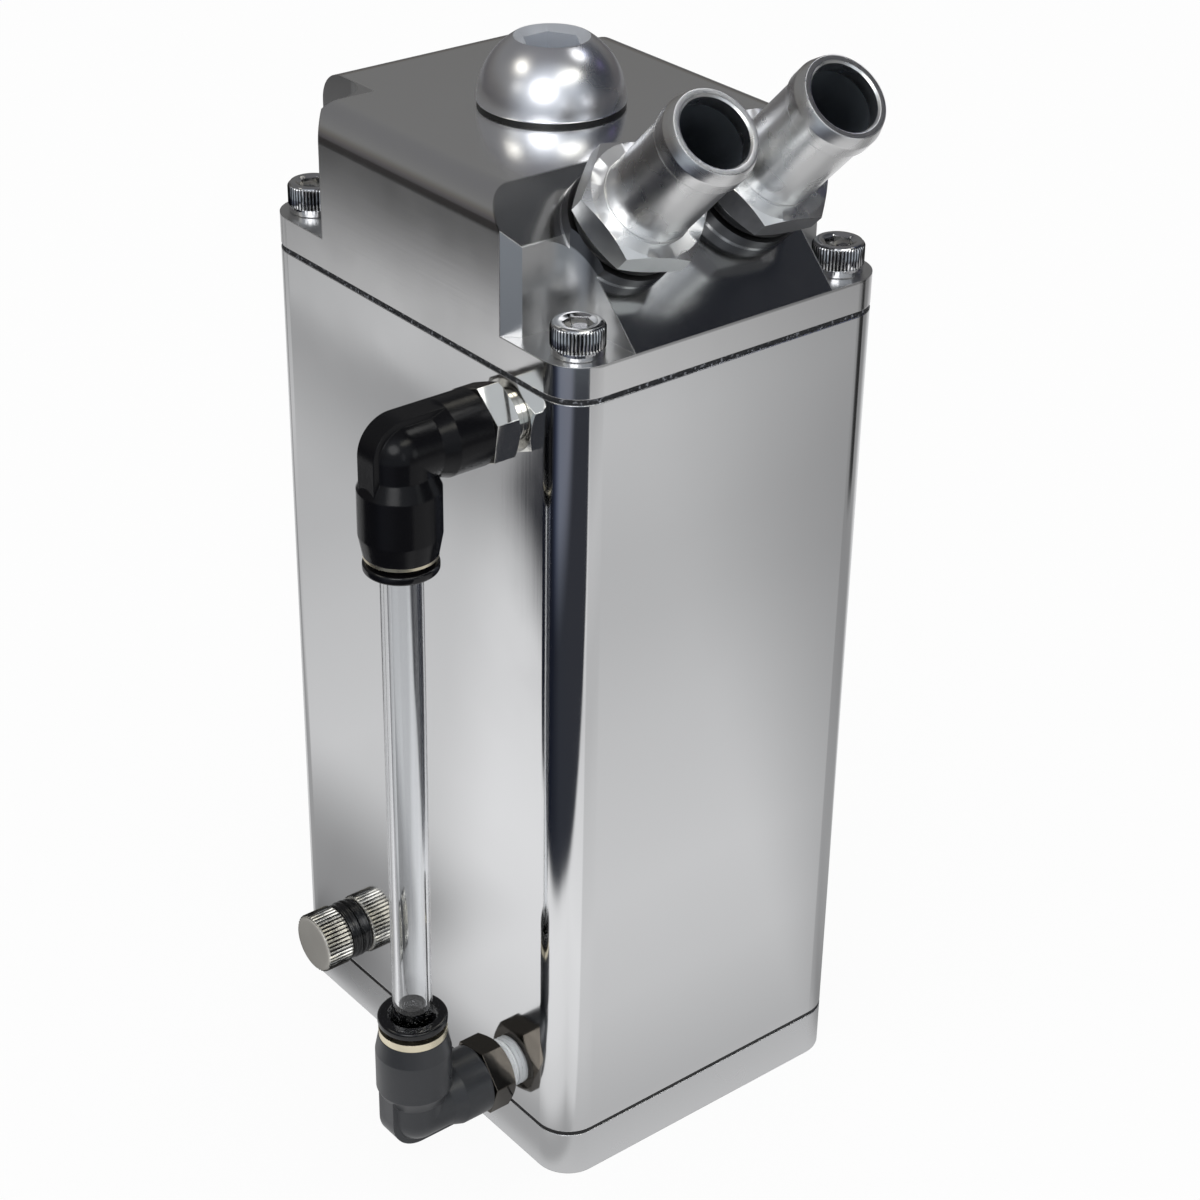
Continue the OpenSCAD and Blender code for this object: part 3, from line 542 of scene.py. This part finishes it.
class OILCAN_OT_hose_barbs(bpy.types.Operator):
    """Make the two hose barbs: hexagon, stem, swollen end and bore in one turned piece"""
    bl_idname = "oilcan.hose_barbs"
    bl_label = "Hose barbs"

    def execute(self, context):
        s, c = context.scene.oilcan_barb, colours()
        sizes = (s.stem, s.bead, s.bore, s.half_flats, s.hex_height, s.tip)
        stem, bead, bore, half, tall, tip = (v / MM for v in sizes)
        flats = {
            -1: milled("milled aluminium", c.milled),
            # The right hexagon's dark colour is a painted dark reflection.
            1: milled("stained aluminium", c.painted_dark_hex, (0.48, 0.6)),
        }
        barrel = turned("turned aluminium", c.turned)
        bored = turned("bored aluminium", c.bored, (0.5, 0.62), 900.0, 0.004, 0.2)
        axis = np.array([0, -np.sin(SLOPE), np.cos(SLOPE)])
        for side, corner in ((-1, -16.0), (1, -7.0)):
            angles = around(192, corner)
            edge = hexagon_radius(half, angles, corner)
            drop = (edge - half) * np.tan(radians(30))
            thread = [
                (bore, -13.4), (7.5, -13.4), (7.95, -12.9), (7.95, -0.4), (half - 0.3, -0.4), (half - 0.3, 0.0),
            ]
            lower = lathe(thread, angles)
            nut = np.concatenate([
                lathe([(half - 0.05, 0.0)], angles), rings(edge[None], drop[None], angles),
                rings(edge[None], (tall - drop)[None], angles), lathe([(half - 0.05, tall)], angles),
            ])
            profile = [(stem + out, tall + z) for out, z in (
                (0.22, 0.02), (0.2, 0.30), (0.12, 0.38), (0.02, 0.40), (-0.02, 0.5), (0, 0.7))]
            profile += [(stem, z) for z in np.linspace(tall + 2, tip - 7, 8)]
            profile += [(stem + out, tip - z) for out, z in ((0, 5.65), (-0.1, 5.55), (-0.1, 5.34))]
            profile += [(bead - 0.15, tip - 5.3)] + arc((bead - 0.12, tip - 5.15), 0.12, -80, 0, 4)
            profile += [(bead - into, tip - z) for into, z in (
                (0, 4.9), (0, 3.6), (0, 2.45), (0.01, 2.33), (0.05, 2.2), (0.30, 1.4), (0.72, 0.2),
                (0.80, 0.06), (0.88, 0.01), (1.0, 0))]
            profile += [(bore + 0.5, tip)]
            profile += [(bore + 0.38, tip - 0.02), (bore + 0.04, tip - 0.36), (bore, tip - 0.5)]
            profile += [(bore, z) for z in np.linspace(tip - 3, -13.0, 12)]
            upper = lathe(profile, angles)
            slots = np.array([0] * len(lower) + [1, 1, 1, 0] + [0] * len(upper))
            slots[len(lower)] = slots[len(lower) + 2] = 0
            slots[-12:] = 2
            slots[-17] = 1
            up_slope = np.array([0, PORT_UP * np.cos(SLOPE), PORT_UP * np.sin(SLOPE)])
            seat = np.array([side * PORT_SIDE, -TANK_FRONT, LID_FLANGE]) + up_slope
            whole = np.concatenate([lower, nut, upper])
            skin = Skin().add(whole, seat + axis * BARB_RISE, axis, (1, 0, 0), loop=True, slots=slots)
            name = "left" if side < 0 else "right"
            finishes = [barrel, flats[side], bored]
            skin.build("barb_" + name, finishes, "tank", "polished_aluminium", ("hose_barb_" + name,))
        return {"FINISHED"}


class OILCAN_OT_filler_plug(bpy.types.Operator):
    """Make the domed filler plug with its key socket and thread"""
    bl_idname = "oilcan.filler_plug"
    bl_label = "Filler plug"

    def execute(self, context):
        s, c = context.scene.oilcan_plug, colours()
        dome, half, pitch = (v / MM for v in (s.dome, s.socket, s.pitch))
        angles = around(180)
        levels = np.linspace(-9.3, -1.6, 60)[:, None]
        turnings = np.mod(levels / pitch - angles / (2 * np.pi), 1.0)
        thread = rings(9.95 - 0.85 * np.abs(2 * turnings - 1), levels, angles)
        rim = 7.4
        high = np.sqrt(dome ** 2 - rim ** 2)
        ball = np.degrees(np.arcsin(high / dome))
        head = [(9.1, -1.3), (9.1, 0.0), (dome - 0.25, 0.0)] + arc((dome - 0.25, 0.2), 0.2, -90, -10, 5)
        head += arc((0, 0), dome, 1.4, ball, 60) + [(rim - 0.12, high + 0.02), (rim - 0.25, high - 0.03)]
        key = hexagon_radius(half, angles)
        ledge = np.maximum(key, half * 1.12)
        socket = np.concatenate([rings(edge[None], high - deep, angles) for edge, deep in (
            (ledge, 1.0), (key, 1.02), (key, 9.4), (key * 0.7, 9.6))])
        stack = np.concatenate([lathe([(9.0, -9.9)], angles), thread, lathe(head, angles), socket])
        slots = np.zeros(len(stack), int)
        slots[-6:] = 1
        finishes = [
            polished("polished steel", c.steel, (0.25, 0.32), 0.02, 0.02),
            turned("socket steel", c.socket, (0.3, 0.42), 600.0, 0.003, 0.0, 0.55),
        ]
        skin = Skin().add(stack, (0, 6, PLUG_Z), caps=(True, True), slots=slots)
        skin.build("plug", finishes, "filler", "chrome_steel", ("filler_plug",))
        return {"FINISHED"}


def cap_screw(s, long):
    """A knurled cap screw on z = 0: rings whose radius is rippled in the knurl and hexagonal in the socket."""
    head, tall, half = (v / MM for v in (s.head, s.height, s.socket))
    angles = around(4 * s.ridges)
    ripple = head - 0.26 * (1 - ridge_wave(angles, s.ridges))
    key = hexagon_radius(half, angles)
    flank = np.concatenate([
        rings(ripple[None] * 0.985, 0.25 * tall, angles), rings(ripple[None], 0.28 * tall, angles),
        rings(ripple[None], tall - 0.85, angles), rings(ripple[None] * 0.965, tall - 0.55, angles),
    ])
    foot = lathe([
        (2.6, -long), (3.0, -long + 0.4), (3.0, 0.0), (head - 0.35, 0.0), (head - 0.15, 0.15),
        (head - 0.15, 0.25 * tall - 0.05),
    ], angles)
    crown = lathe([
        (head - 0.36, tall - 0.42), (head - 0.55, tall - 0.16), (head - 0.85, tall - 0.03),
        (head - 1.15, tall), (half + 0.95, tall), (half + 0.85, tall - 0.03),
    ], angles)
    well = np.concatenate([rings(edge[None], tall - deep, angles) for edge, deep in (
        (np.maximum(key, half + 0.3), 0.38), (key, 0.42), (key, 3.0), (key * 0.6, 3.3))])
    return np.concatenate([foot, flank, crown, well])


class OILCAN_OT_cap_screws(bpy.types.Operator):
    """Make the knurled cap screws of the lid and of the base"""
    bl_idname = "oilcan.cap_screws"
    bl_label = "Cap screws"

    def execute(self, context):
        s, c = context.scene.oilcan_screw, colours()
        finish = [
            plated("chrome", c.chrome, (0.05, 0.16), 0.02), plated("socket floor", c.nickel, (0.4, 0.55), 0.02),
            knurled("chrome knurl", c.chrome, s.ridges),
        ]
        places = [(x * SCREW_X, y * SCREW_Y) for x in (-1, 1) for y in (-1, 1)]
        sets = (
            ("screws_lid", "lid_screws", 25, LID_FLANGE, 1),
            ("screws_base", "base_screws", 16, BASE_SCREW_Z, -1),
        )
        for name, node, long, z, up in sets:
            skin = Skin()
            for k, (x, y) in enumerate(places):
                turn = radians(17 + 23 * k)
                stack = cap_screw(s, long)
                slots = (np.arange(len(stack)) >= len(stack) - 2).astype(int)
                slots[6:9] = 2
                skin.add(
                    stack, (x, y, z), (0, 0, up), (np.cos(turn), np.sin(turn), 0), caps=(True, True), slots=slots)
            skin.build(name, finish, "tank", "chrome_steel", (node,))
        return {"FINISHED"}


class OILCAN_OT_sight_tube(bpy.types.Operator):
    """Make the clear sight tube, a closed wall with softened ends"""
    bl_idname = "oilcan.sight_tube"
    bl_label = "Sight tube"

    def execute(self, context):
        s = context.scene.oilcan_gauge
        outer, inner = s.tube / MM, s.bore / MM
        low, high = 28.05, 159.45
        profile = [(outer, z) for z in np.linspace(low + 0.2, high - 0.2, 12)]
        profile += [(outer - 0.2, high), (inner + 0.1, high)]
        profile += [(inner, z) for z in np.linspace(high - 0.1, low + 0.1, 12)]
        profile += [(inner + 0.1, low), (outer - 0.2, low)]
        skin = Skin().add(lathe(profile, around(128)), (*GAUGE, 0.0), loop=True)
        skin.build("tube", [clear_plastic("clear plastic")], "tank", "clear_plastic", ("sight_tube",))
        return {"FINISHED"}


class OILCAN_OT_release_rings(bpy.types.Operator):
    """Make the two release rings, glossy collars with a thin sleeve inside the elbow"""
    bl_idname = "oilcan.release_rings"
    bl_label = "Release rings"

    def execute(self, context):
        s, c = context.scene.oilcan_gauge, colours()
        collar, hole = s.collar / MM, s.tube / MM + 0.08
        glossy = [moulded("glossy nylon", c.nylon, (0.10, 0.2), 0.02, 0.004)]
        for name, z, up, show in (("upper", 168.3, -1, 0.6), ("lower", 19.2, 1, 1.7)):
            face = 19.9 + show + 1.1
            far = face + 1.8
            profile = [(hole, 16.62), (5.02, 16.62), (5.02, face)]
            profile += arc((collar - 0.45, face + 0.45), 0.45, -90, 0, 6)
            profile += arc((collar - 0.6, far - 0.6), 0.6, 0, 90, 7)
            profile += [(hole + out, far - z) for out, z in ((0.95, 0), (0.75, 0.12), (0.2, 0.75), (0, 0.9))]
            skin = Skin().add(lathe(profile, around(144)), (*GAUGE, z), (0, 0, up), (1, 0, 0), loop=True)
            skin.build("ring_" + name, glossy, name + "_release", "black_nylon", (name + "_release_ring",))
        return {"FINISHED"}


class OILCAN_OT_drain(bpy.types.Operator):
    """Make the knurled drain knob with its thread, and the washer behind it"""
    bl_idname = "oilcan.drain"
    bl_label = "Drain knob and washer"

    def execute(self, context):
        s, c = context.scene.oilcan_drain, colours()
        knob = s.knob / MM
        angles = around(6 * s.ridges)
        ripple = knob - 0.55 * (1 - ridge_wave(angles, s.ridges))
        levels = np.linspace(-7.6, 2.2, 60)[:, None]
        turnings = np.mod(levels / 1.5 - angles / (2 * np.pi), 1.0)
        shank = rings(4.95 - 0.8 * np.abs(2 * turnings - 1), levels, angles)
        back = lathe([(4.3, 2.55), (5.9, 2.65), (knob - 0.5, 2.75)], angles)
        flank = np.concatenate([rings(ripple[None] * share, z, angles) for share, z in (
            (0.985, 3.0), (1.0, 3.15), (1.0, 8.7), (0.98, 8.88))])
        face = lathe([
            (knob - 0.42, 9.0), (knob - 0.55, 9.14), (knob - 0.75, 9.2), (5.2, 9.2), (3.4, 9.19), (1.6, 9.18),
            (0.5, 9.17),
        ], angles)
        stack = np.concatenate([lathe([(4.0, -8.0)], angles), shank, back, flank, face])
        finish = [
            turned("knob steel", c.knob, (0.34, 0.42), 300.0, 0.003, 0.2),
            knurled("knob knurl", c.knob, s.ridges, (0.18, 0.3)),
        ]
        slots = np.zeros(len(stack), int)
        slots[len(stack) - 11:len(stack) - 8] = 1
        place = {"origin": (-TANK_SIDE, 29.0, 19.0), "up": (-1, 0, 0), "side": (0, 0, 1)}
        skin = Skin().add(stack, caps=(True, True), slots=slots, **place)
        skin.build("drain_plug", finish, "drain", "turned_steel", ("drain_knob",))
        lip = [(5.3, 0.0), (6.1, 0.0)] + arc((5.95, 0.6), 0.55, -60, 60, 8)
        lip += arc((5.75, 1.9), 0.6, -50, 60, 8) + [(5.6, 2.6), (5.3, 2.6)]
        rubber = [moulded("washer rubber", c.rubber, (0.16, 0.3), 0.02, 0.004)]
        skin = Skin().add(lathe(lip, around(120)), loop=True, **place)
        skin.build("washer", rubber, "drain_draw", "black_rubber", ("drain_washer",))
        return {"FINISHED"}


class OILCAN_OT_thread_tape(bpy.types.Operator):
    """Make the sealing tape, drawn tight into the thread that it is wound round"""
    bl_idname = "oilcan.thread_tape"
    bl_label = "Thread tape"

    def execute(self, context):
        angles = around(120)
        levels = np.linspace(0.06, 2.24, 52)[:, None]
        wave = np.mod(levels / 0.907 - angles / (2 * np.pi), 1.0)
        uneven = 0.04 * np.sin(3 * angles + 1.0) + 0.03 * np.sin(7 * angles)
        outer = 5.28 + uneven - 0.30 * np.abs(2 * wave - 1) ** 1.3
        inner = [lathe([(4.91, z)], angles) for z in (0.06, 2.24)]
        stack = np.concatenate([inner[0], rings(outer, levels, angles), inner[1]])
        finish = [white_tape("white tape", colours().tape)]
        skin = Skin().add(stack, (-40.3, GAUGE[1], 19.2), (1, 0, 0), (0, 0, 1), loop=True)
        skin.build("tape", finish, "tank", "white_tape", ("thread_tape",))
        return {"FINISHED"}


# Stage

# Lamps and dark places seen in the metal: direction, half widths in degrees, colour, level
LAMPS = (
    ((-0.682, -0.538, 0.496), (17, 14), (1.0, 1.0, 1.0), 3.0),
    ((-0.588, 0.296, 0.753), (11, 7), (1.0, 0.96, 0.84), 2.6),
    ((0.010, -0.663, 0.749), (18, 7), (1.0, 0.97, 0.86), 2.8),
    ((-0.890, 0.113, 0.441), (8, 6), (1.0, 0.97, 0.88), 0.8),
    ((0.367, -0.930, 0.060), (8, 15), (0.95, 1.0, 1.0), 1.1),
    ((-0.313, -0.944, 0.103), (5, 12), (0.92, 0.96, 1.0), 0.7),
    ((0.500, -0.190, 0.845), (8, 8), (1.0, 1.0, 0.97), 3.0),
    ((0.640, -0.130, 0.757), (5, 3), (0.25, 0.35, 1.0), 0.7),
    ((0.851, -0.215, 0.479), (4, 3), (0.5, 0.35, 0.9), 0.4),
    ((-0.500, -0.620, 0.400), (54, 40), (0.88, 0.97, 1.08), 0.36),
)


class World(Finish):
    """The same short ways, for the world's nodes."""

    def __init__(self, world):
        world.use_nodes = True
        self.tree = world.node_tree
        self.tree.nodes.clear()


def lamp_mask(w, direction, where, widths):
    """One inside an ellipse round a direction, falling softly to zero at its edge."""
    turn = Vector(where).to_track_quat("Z", "Y").to_euler()
    scale = (np.sin(radians(widths[0])), np.sin(radians(widths[1])), 1.0)
    inputs = {"Vector": direction, "Rotation": turn, "Scale": scale}
    local = w.node("Mapping", inputs, vector_type="TEXTURE").outputs[0]
    parts = w.node("SeparateXYZ", {"Vector": local})
    flat = w.node("CombineXYZ", {"X": parts.outputs[0], "Y": parts.outputs[1]}).outputs[0]
    reach = w.node("VectorMath", {0: flat}, operation="LENGTH").outputs["Value"]
    return w.sums("MULTIPLY", w.smooth(reach, 1.25, 0.75), w.sums("GREATER_THAN", parts.outputs[2], 0.0))


def ramp(w, value, stops):
    made = w.node("ValToRGB", {"Fac": value})
    band = made.color_ramp
    while len(band.elements) < len(stops):
        band.elements.new(0.5)
    for element, (place, shade) in zip(band.elements, stops):
        element.position = place
        element.color = (*shade, 1.0)
    return made.outputs["Color"]


def make_world(settings):
    """Plain soft light for dull surfaces, white behind the object, and a room with lamps for the metal."""
    if bpy.context.scene.world is None:
        bpy.context.scene.world = bpy.data.worlds.new("studio")
    w = World(bpy.context.scene.world)
    direction = w.node("TexCoord").outputs["Generated"]
    up = w.node("SeparateXYZ", {"Vector": direction}).outputs[2]
    room = ramp(w, w.span(up, -0.2, 1.0, 0.0, 1.0), (
        (0.0, (0.10, 0.10, 0.10)), (0.15, (0.075, 0.070, 0.074)), (0.22, (0.095, 0.090, 0.092)),
        (0.30, (0.125, 0.118, 0.108)), (0.45, (0.175, 0.175, 0.175)), (0.7, (0.15, 0.15, 0.155)),
        (1.0, (0.17, 0.17, 0.18)),
    ))
    total = w.mixed(lamp_mask(w, direction, (0.66, -0.42, 0.62), (42, 36)), room, (0.026, 0.029, 0.038))
    for where, widths, shade, level in LAMPS:
        glow = w.node("VectorMath", {0: tuple(k * level * settings.lamps for k in shade)}, operation="SCALE")
        w.tree.links.new(lamp_mask(w, direction, where, widths), glow.inputs["Scale"])
        total = w.node("VectorMath", {0: total, 1: glow.outputs[0]}, operation="ADD").outputs[0]
    path = w.node("LightPath")
    seen = w.node("Background", {"Color": (1, 1, 1, 1), "Strength": 1.0}).outputs[0]
    soft = w.node("Background", {"Color": (1, 1, 1, 1), "Strength": settings.sky}).outputs[0]
    mirror = w.node("Background", {"Color": total, "Strength": 1.0}).outputs[0]
    plain = w.node("MixShader", {0: path.outputs["Is Glossy Ray"], 1: soft, 2: mirror}).outputs[0]
    straight = w.sums("MAXIMUM", path.outputs["Is Camera Ray"], path.outputs["Is Transmission Ray"])
    last = w.node("MixShader", {0: straight, 1: plain, 2: seen}).outputs[0]
    w.node("OutputWorld", {"Surface": last})


def table_seen(f):
    """What the metal sees below it: a pale table with the tank's shadow painted on it, darker close to the tank
    and beside and behind its left side, with a dark room past its left edge. Distances are in metres from the
    middle of the tank."""
    where = f.node("TexCoord").outputs["Object"]
    x, y = f.node("SeparateXYZ", {"Vector": where}).outputs[:2]
    beside = f.sums("SUBTRACT", f.sums("ABSOLUTE", x, 0.0), TANK_SIDE * MM)
    endways = f.sums("SUBTRACT", f.sums("ABSOLUTE", y, 0.0), TANK_FRONT * MM)
    gap = f.sums("MAXIMUM", f.sums("MAXIMUM", beside, endways), 0.0)
    # Painted shadow: the table is darker close to the tank.
    total = ramp(f, gap, tuple((place, (k, k, k * 1.01)) for place, k in (
        (0.0, 0.55), (0.012, 0.48), (0.04, 0.60), (0.07, 0.64), (0.125, 0.58), (0.17, 0.51),
        (0.2, 0.50), (0.27, 0.56), (0.40, 0.40), (0.60, 0.15),
    )))
    unit = f.node("VectorMath", {0: where}, operation="NORMALIZE").outputs[0]

    def toward(azimuth, wide, narrow):
        aim = (np.sin(radians(azimuth)), -np.cos(radians(azimuth)), 0)
        dot = f.node("VectorMath", {0: unit, 1: aim}, operation="DOT_PRODUCT").outputs["Value"]
        return f.smooth(dot, np.cos(radians(wide)), np.cos(radians(narrow)))

    def scaled(colour, factor, amount):
        k = f.sums("ADD", f.sums("MULTIPLY", factor, amount), 1.0)
        made = f.node("VectorMath", {0: colour}, operation="SCALE")
        f.tree.links.new(k, made.inputs["Scale"])
        return made.outputs[0]

    total = scaled(total, toward(62, 30, 12), -0.46)
    total = scaled(total, toward(135, 50, 20), 0.45)
    left = f.smooth(x, -0.038, -0.042)
    before = f.smooth(f.sums("ADD", y, f.sums("MULTIPLY", x, 1.22)), -0.035, -0.065)
    total = scaled(total, f.sums("MULTIPLY", left, before), 0.26)
    # Painted shadow of the tank on the table behind its left side.
    behind = f.sums("MULTIPLY", f.smooth(y, 0.02, 0.05), f.smooth(x, -0.095, -0.065))
    total = scaled(total, f.sums("MULTIPLY", left, behind), -0.45)
    total = scaled(total, f.smooth(x, -0.17, -0.225), -0.36)
    # Painted contact shadow along the tank's left foot.
    total = scaled(total, f.sums("MULTIPLY", left, f.smooth(gap, 0.022, 0.006)), -0.45)
    total = scaled(total, f.smooth(x, -0.232, -0.246), 0.55)
    total = scaled(total, f.smooth(x, -0.285, -0.315), -0.85)
    edge = ramp(f, f.sums("ADD", y, 0.5), tuple((place, (k, k, k)) for place, k in (
        (0.20, 0.052), (0.27, 0.068), (0.34, 0.096), (0.41, 0.124), (0.526, 0.144), (0.603, 0.154),
        (0.705, 0.215), (0.727, 0.235), (0.745, 0.31), (0.83, 0.40), (0.98, 0.44),
    )))
    past = f.smooth(f.sums("ADD", x, edge), 0.004, -0.010)
    room = ramp(f, f.sums("ADD", y, 0.5), (
        (0.30, (0.032, 0.034, 0.042)), (0.42, (0.030, 0.033, 0.042)), (0.50, (0.010, 0.012, 0.020)),
        (0.80, (0.012, 0.012, 0.016)), (1.0, (0.030, 0.028, 0.028)),
    ))
    glow = f.sums("MULTIPLY", toward(-68, 30, 8), f.smooth(x, -0.24, -0.34))
    room = scaled(room, glow, 4.0)
    beyond = f.node("VectorMath", {0: where}, operation="LENGTH").outputs["Value"]
    camera_side = f.sums("MULTIPLY", toward(-39, 62, 35), f.smooth(beyond, 0.45, 0.55))
    room = f.mixed(camera_side, room, (0.36, 0.40, 0.44))
    total = f.mixed(past, total, room)
    corner = f.sums("MULTIPLY", toward(61, 8, 4), f.smooth(beyond, 0.30, 0.33))
    return f.mixed(corner, total, (0.03, 0.03, 0.03))


def make_floor():
    """White floor that keeps the object's shadow, clear from below. The metal sees table_seen."""
    mesh = bpy.data.meshes.new("floor")
    half = 2.5
    corners = [(-half, -half, 0), (half, -half, 0), (half, half, 0), (-half, half, 0)]
    mesh.from_pydata(corners, [], [(0, 1, 2, 3)])
    floor = bpy.data.objects.new("floor", mesh)
    bpy.context.scene.collection.objects.link(floor)
    f = Finish("floor")
    nodes = f.tree.nodes
    nodes.remove(f.shader)
    path = f.node("LightPath")
    plain = f.node("BsdfDiffuse", {"Color": (0.86, 0.86, 0.86, 1.0)}).outputs[0]
    white = f.node("Emission", {"Color": (1, 1, 1, 1), "Strength": 1.0}).outputs[0]
    table = f.node("Emission", {"Color": table_seen(f), "Strength": 1.0}).outputs[0]
    seen = f.node("MixShader", {0: 0.93, 1: plain, 2: white}).outputs[0]
    straight = f.sums("MAXIMUM", path.outputs["Is Camera Ray"], path.outputs["Is Transmission Ray"])
    direct = f.node("MixShader", {0: straight, 1: plain, 2: seen}).outputs[0]
    last = f.node("MixShader", {0: path.outputs["Is Glossy Ray"], 1: direct, 2: table}).outputs[0]
    below = f.node("NewGeometry").outputs["Backfacing"]
    clear = f.node("BsdfTransparent").outputs[0]
    last = f.node("MixShader", {0: below, 1: last, 2: clear}).outputs[0]
    f.tree.links.new(last, nodes["Material Output"].inputs["Surface"])
    mesh.materials.append(f.material)


def make_camera(settings):
    """Camera at the photograph's angle: 39 degrees left of the front, 30 degrees up, rolled by one."""
    turn, rise, roll = radians(-39.2536), radians(30.0396), radians(1.0397)
    back = Vector((np.sin(turn) * np.cos(rise), -np.cos(turn) * np.cos(rise), np.sin(rise)))
    right = Vector((np.cos(turn), np.sin(turn), 0))
    over = back.cross(right)
    right, over = right * np.cos(roll) + over * np.sin(roll), over * np.cos(roll) - right * np.sin(roll)
    data = bpy.data.cameras.new("camera")
    data.lens, data.sensor_width = settings.lens, 36.0
    data.clip_start, data.clip_end = 0.01, 20.0
    camera = bpy.data.objects.new("camera", data)
    bpy.context.scene.collection.objects.link(camera)
    spin = Matrix((right, over, back)).transposed().to_4x4()
    camera.matrix_world = Matrix.Translation((-0.29152, -0.36789, 0.37522)) @ spin
    bpy.context.scene.camera = camera


def make_key():
    """One large soft lamp from the upper left, so that dull pieces have a lit and a shaded side."""
    data = bpy.data.lights.new("key", "AREA")
    data.shape, data.size, data.energy = "DISK", 0.7, 3.0
    lamp = bpy.data.objects.new("key", data)
    aim = Vector((-0.75, -0.75, 1.0)).to_track_quat("Z", "Y").to_matrix().to_4x4()
    lamp.matrix_world = Matrix.Translation((-0.75, -0.75, 1.1)) @ aim
    lamp.visible_glossy = False
    bpy.context.scene.collection.objects.link(lamp)


class OILCAN_OT_stage(bpy.types.Operator):
    """Set the camera, the floor, the soft light and what the metal reflects"""
    bl_idname = "oilcan.stage"
    bl_label = "Stage"

    def execute(self, context):
        settings = context.scene.oilcan_stage
        make_camera(settings)
        make_world(settings)
        make_floor()
        make_key()
        context.scene.view_settings.view_transform = "Standard"
        return {"FINISHED"}


PIECES = (
    OILCAN_OT_stage, OILCAN_OT_tank, OILCAN_OT_hose_barbs, OILCAN_OT_filler_plug, OILCAN_OT_cap_screws,
    OILCAN_OT_sight_tube, OILCAN_OT_release_rings, OILCAN_OT_drain, OILCAN_OT_thread_tape,
)
GROUPS = {
    "oilcan_barb": BarbSizes, "oilcan_plug": PlugSizes, "oilcan_screw": ScrewSizes, "oilcan_gauge": GaugeSizes,
    "oilcan_drain": DrainSizes, "oilcan_finish": FinishColours, "oilcan_stage": StageSettings,
}


class OILCAN_PT_sidebar(bpy.types.Panel):
    """Sizes, colours and pieces of the oil catch can"""
    bl_idname = "OILCAN_PT_sidebar"
    bl_label = "Oil catch can"
    bl_space_type = "VIEW_3D"
    bl_region_type = "UI"
    bl_category = "Oil can"

    def draw(self, context):
        for key, group in GROUPS.items():
            box = self.layout.box()
            for name in group.__annotations__:
                box.prop(getattr(context.scene, key), name)
        for piece in PIECES:
            self.layout.operator(piece.bl_idname)


def register():
    for kind in (*GROUPS.values(), *PIECES, OILCAN_PT_sidebar):
        bpy.utils.register_class(kind)
    for key, group in GROUPS.items():
        setattr(bpy.types.Scene, key, PointerProperty(type=group))


def unregister():
    for key in GROUPS:
        delattr(bpy.types.Scene, key)
    for kind in reversed((*GROUPS.values(), *PIECES, OILCAN_PT_sidebar)):
        bpy.utils.unregister_class(kind)


def main():
    register()
    for piece in PIECES:
        family, name = piece.bl_idname.split(".")
        getattr(getattr(bpy.ops, family), name)()


if __name__ == "__main__":
    main()
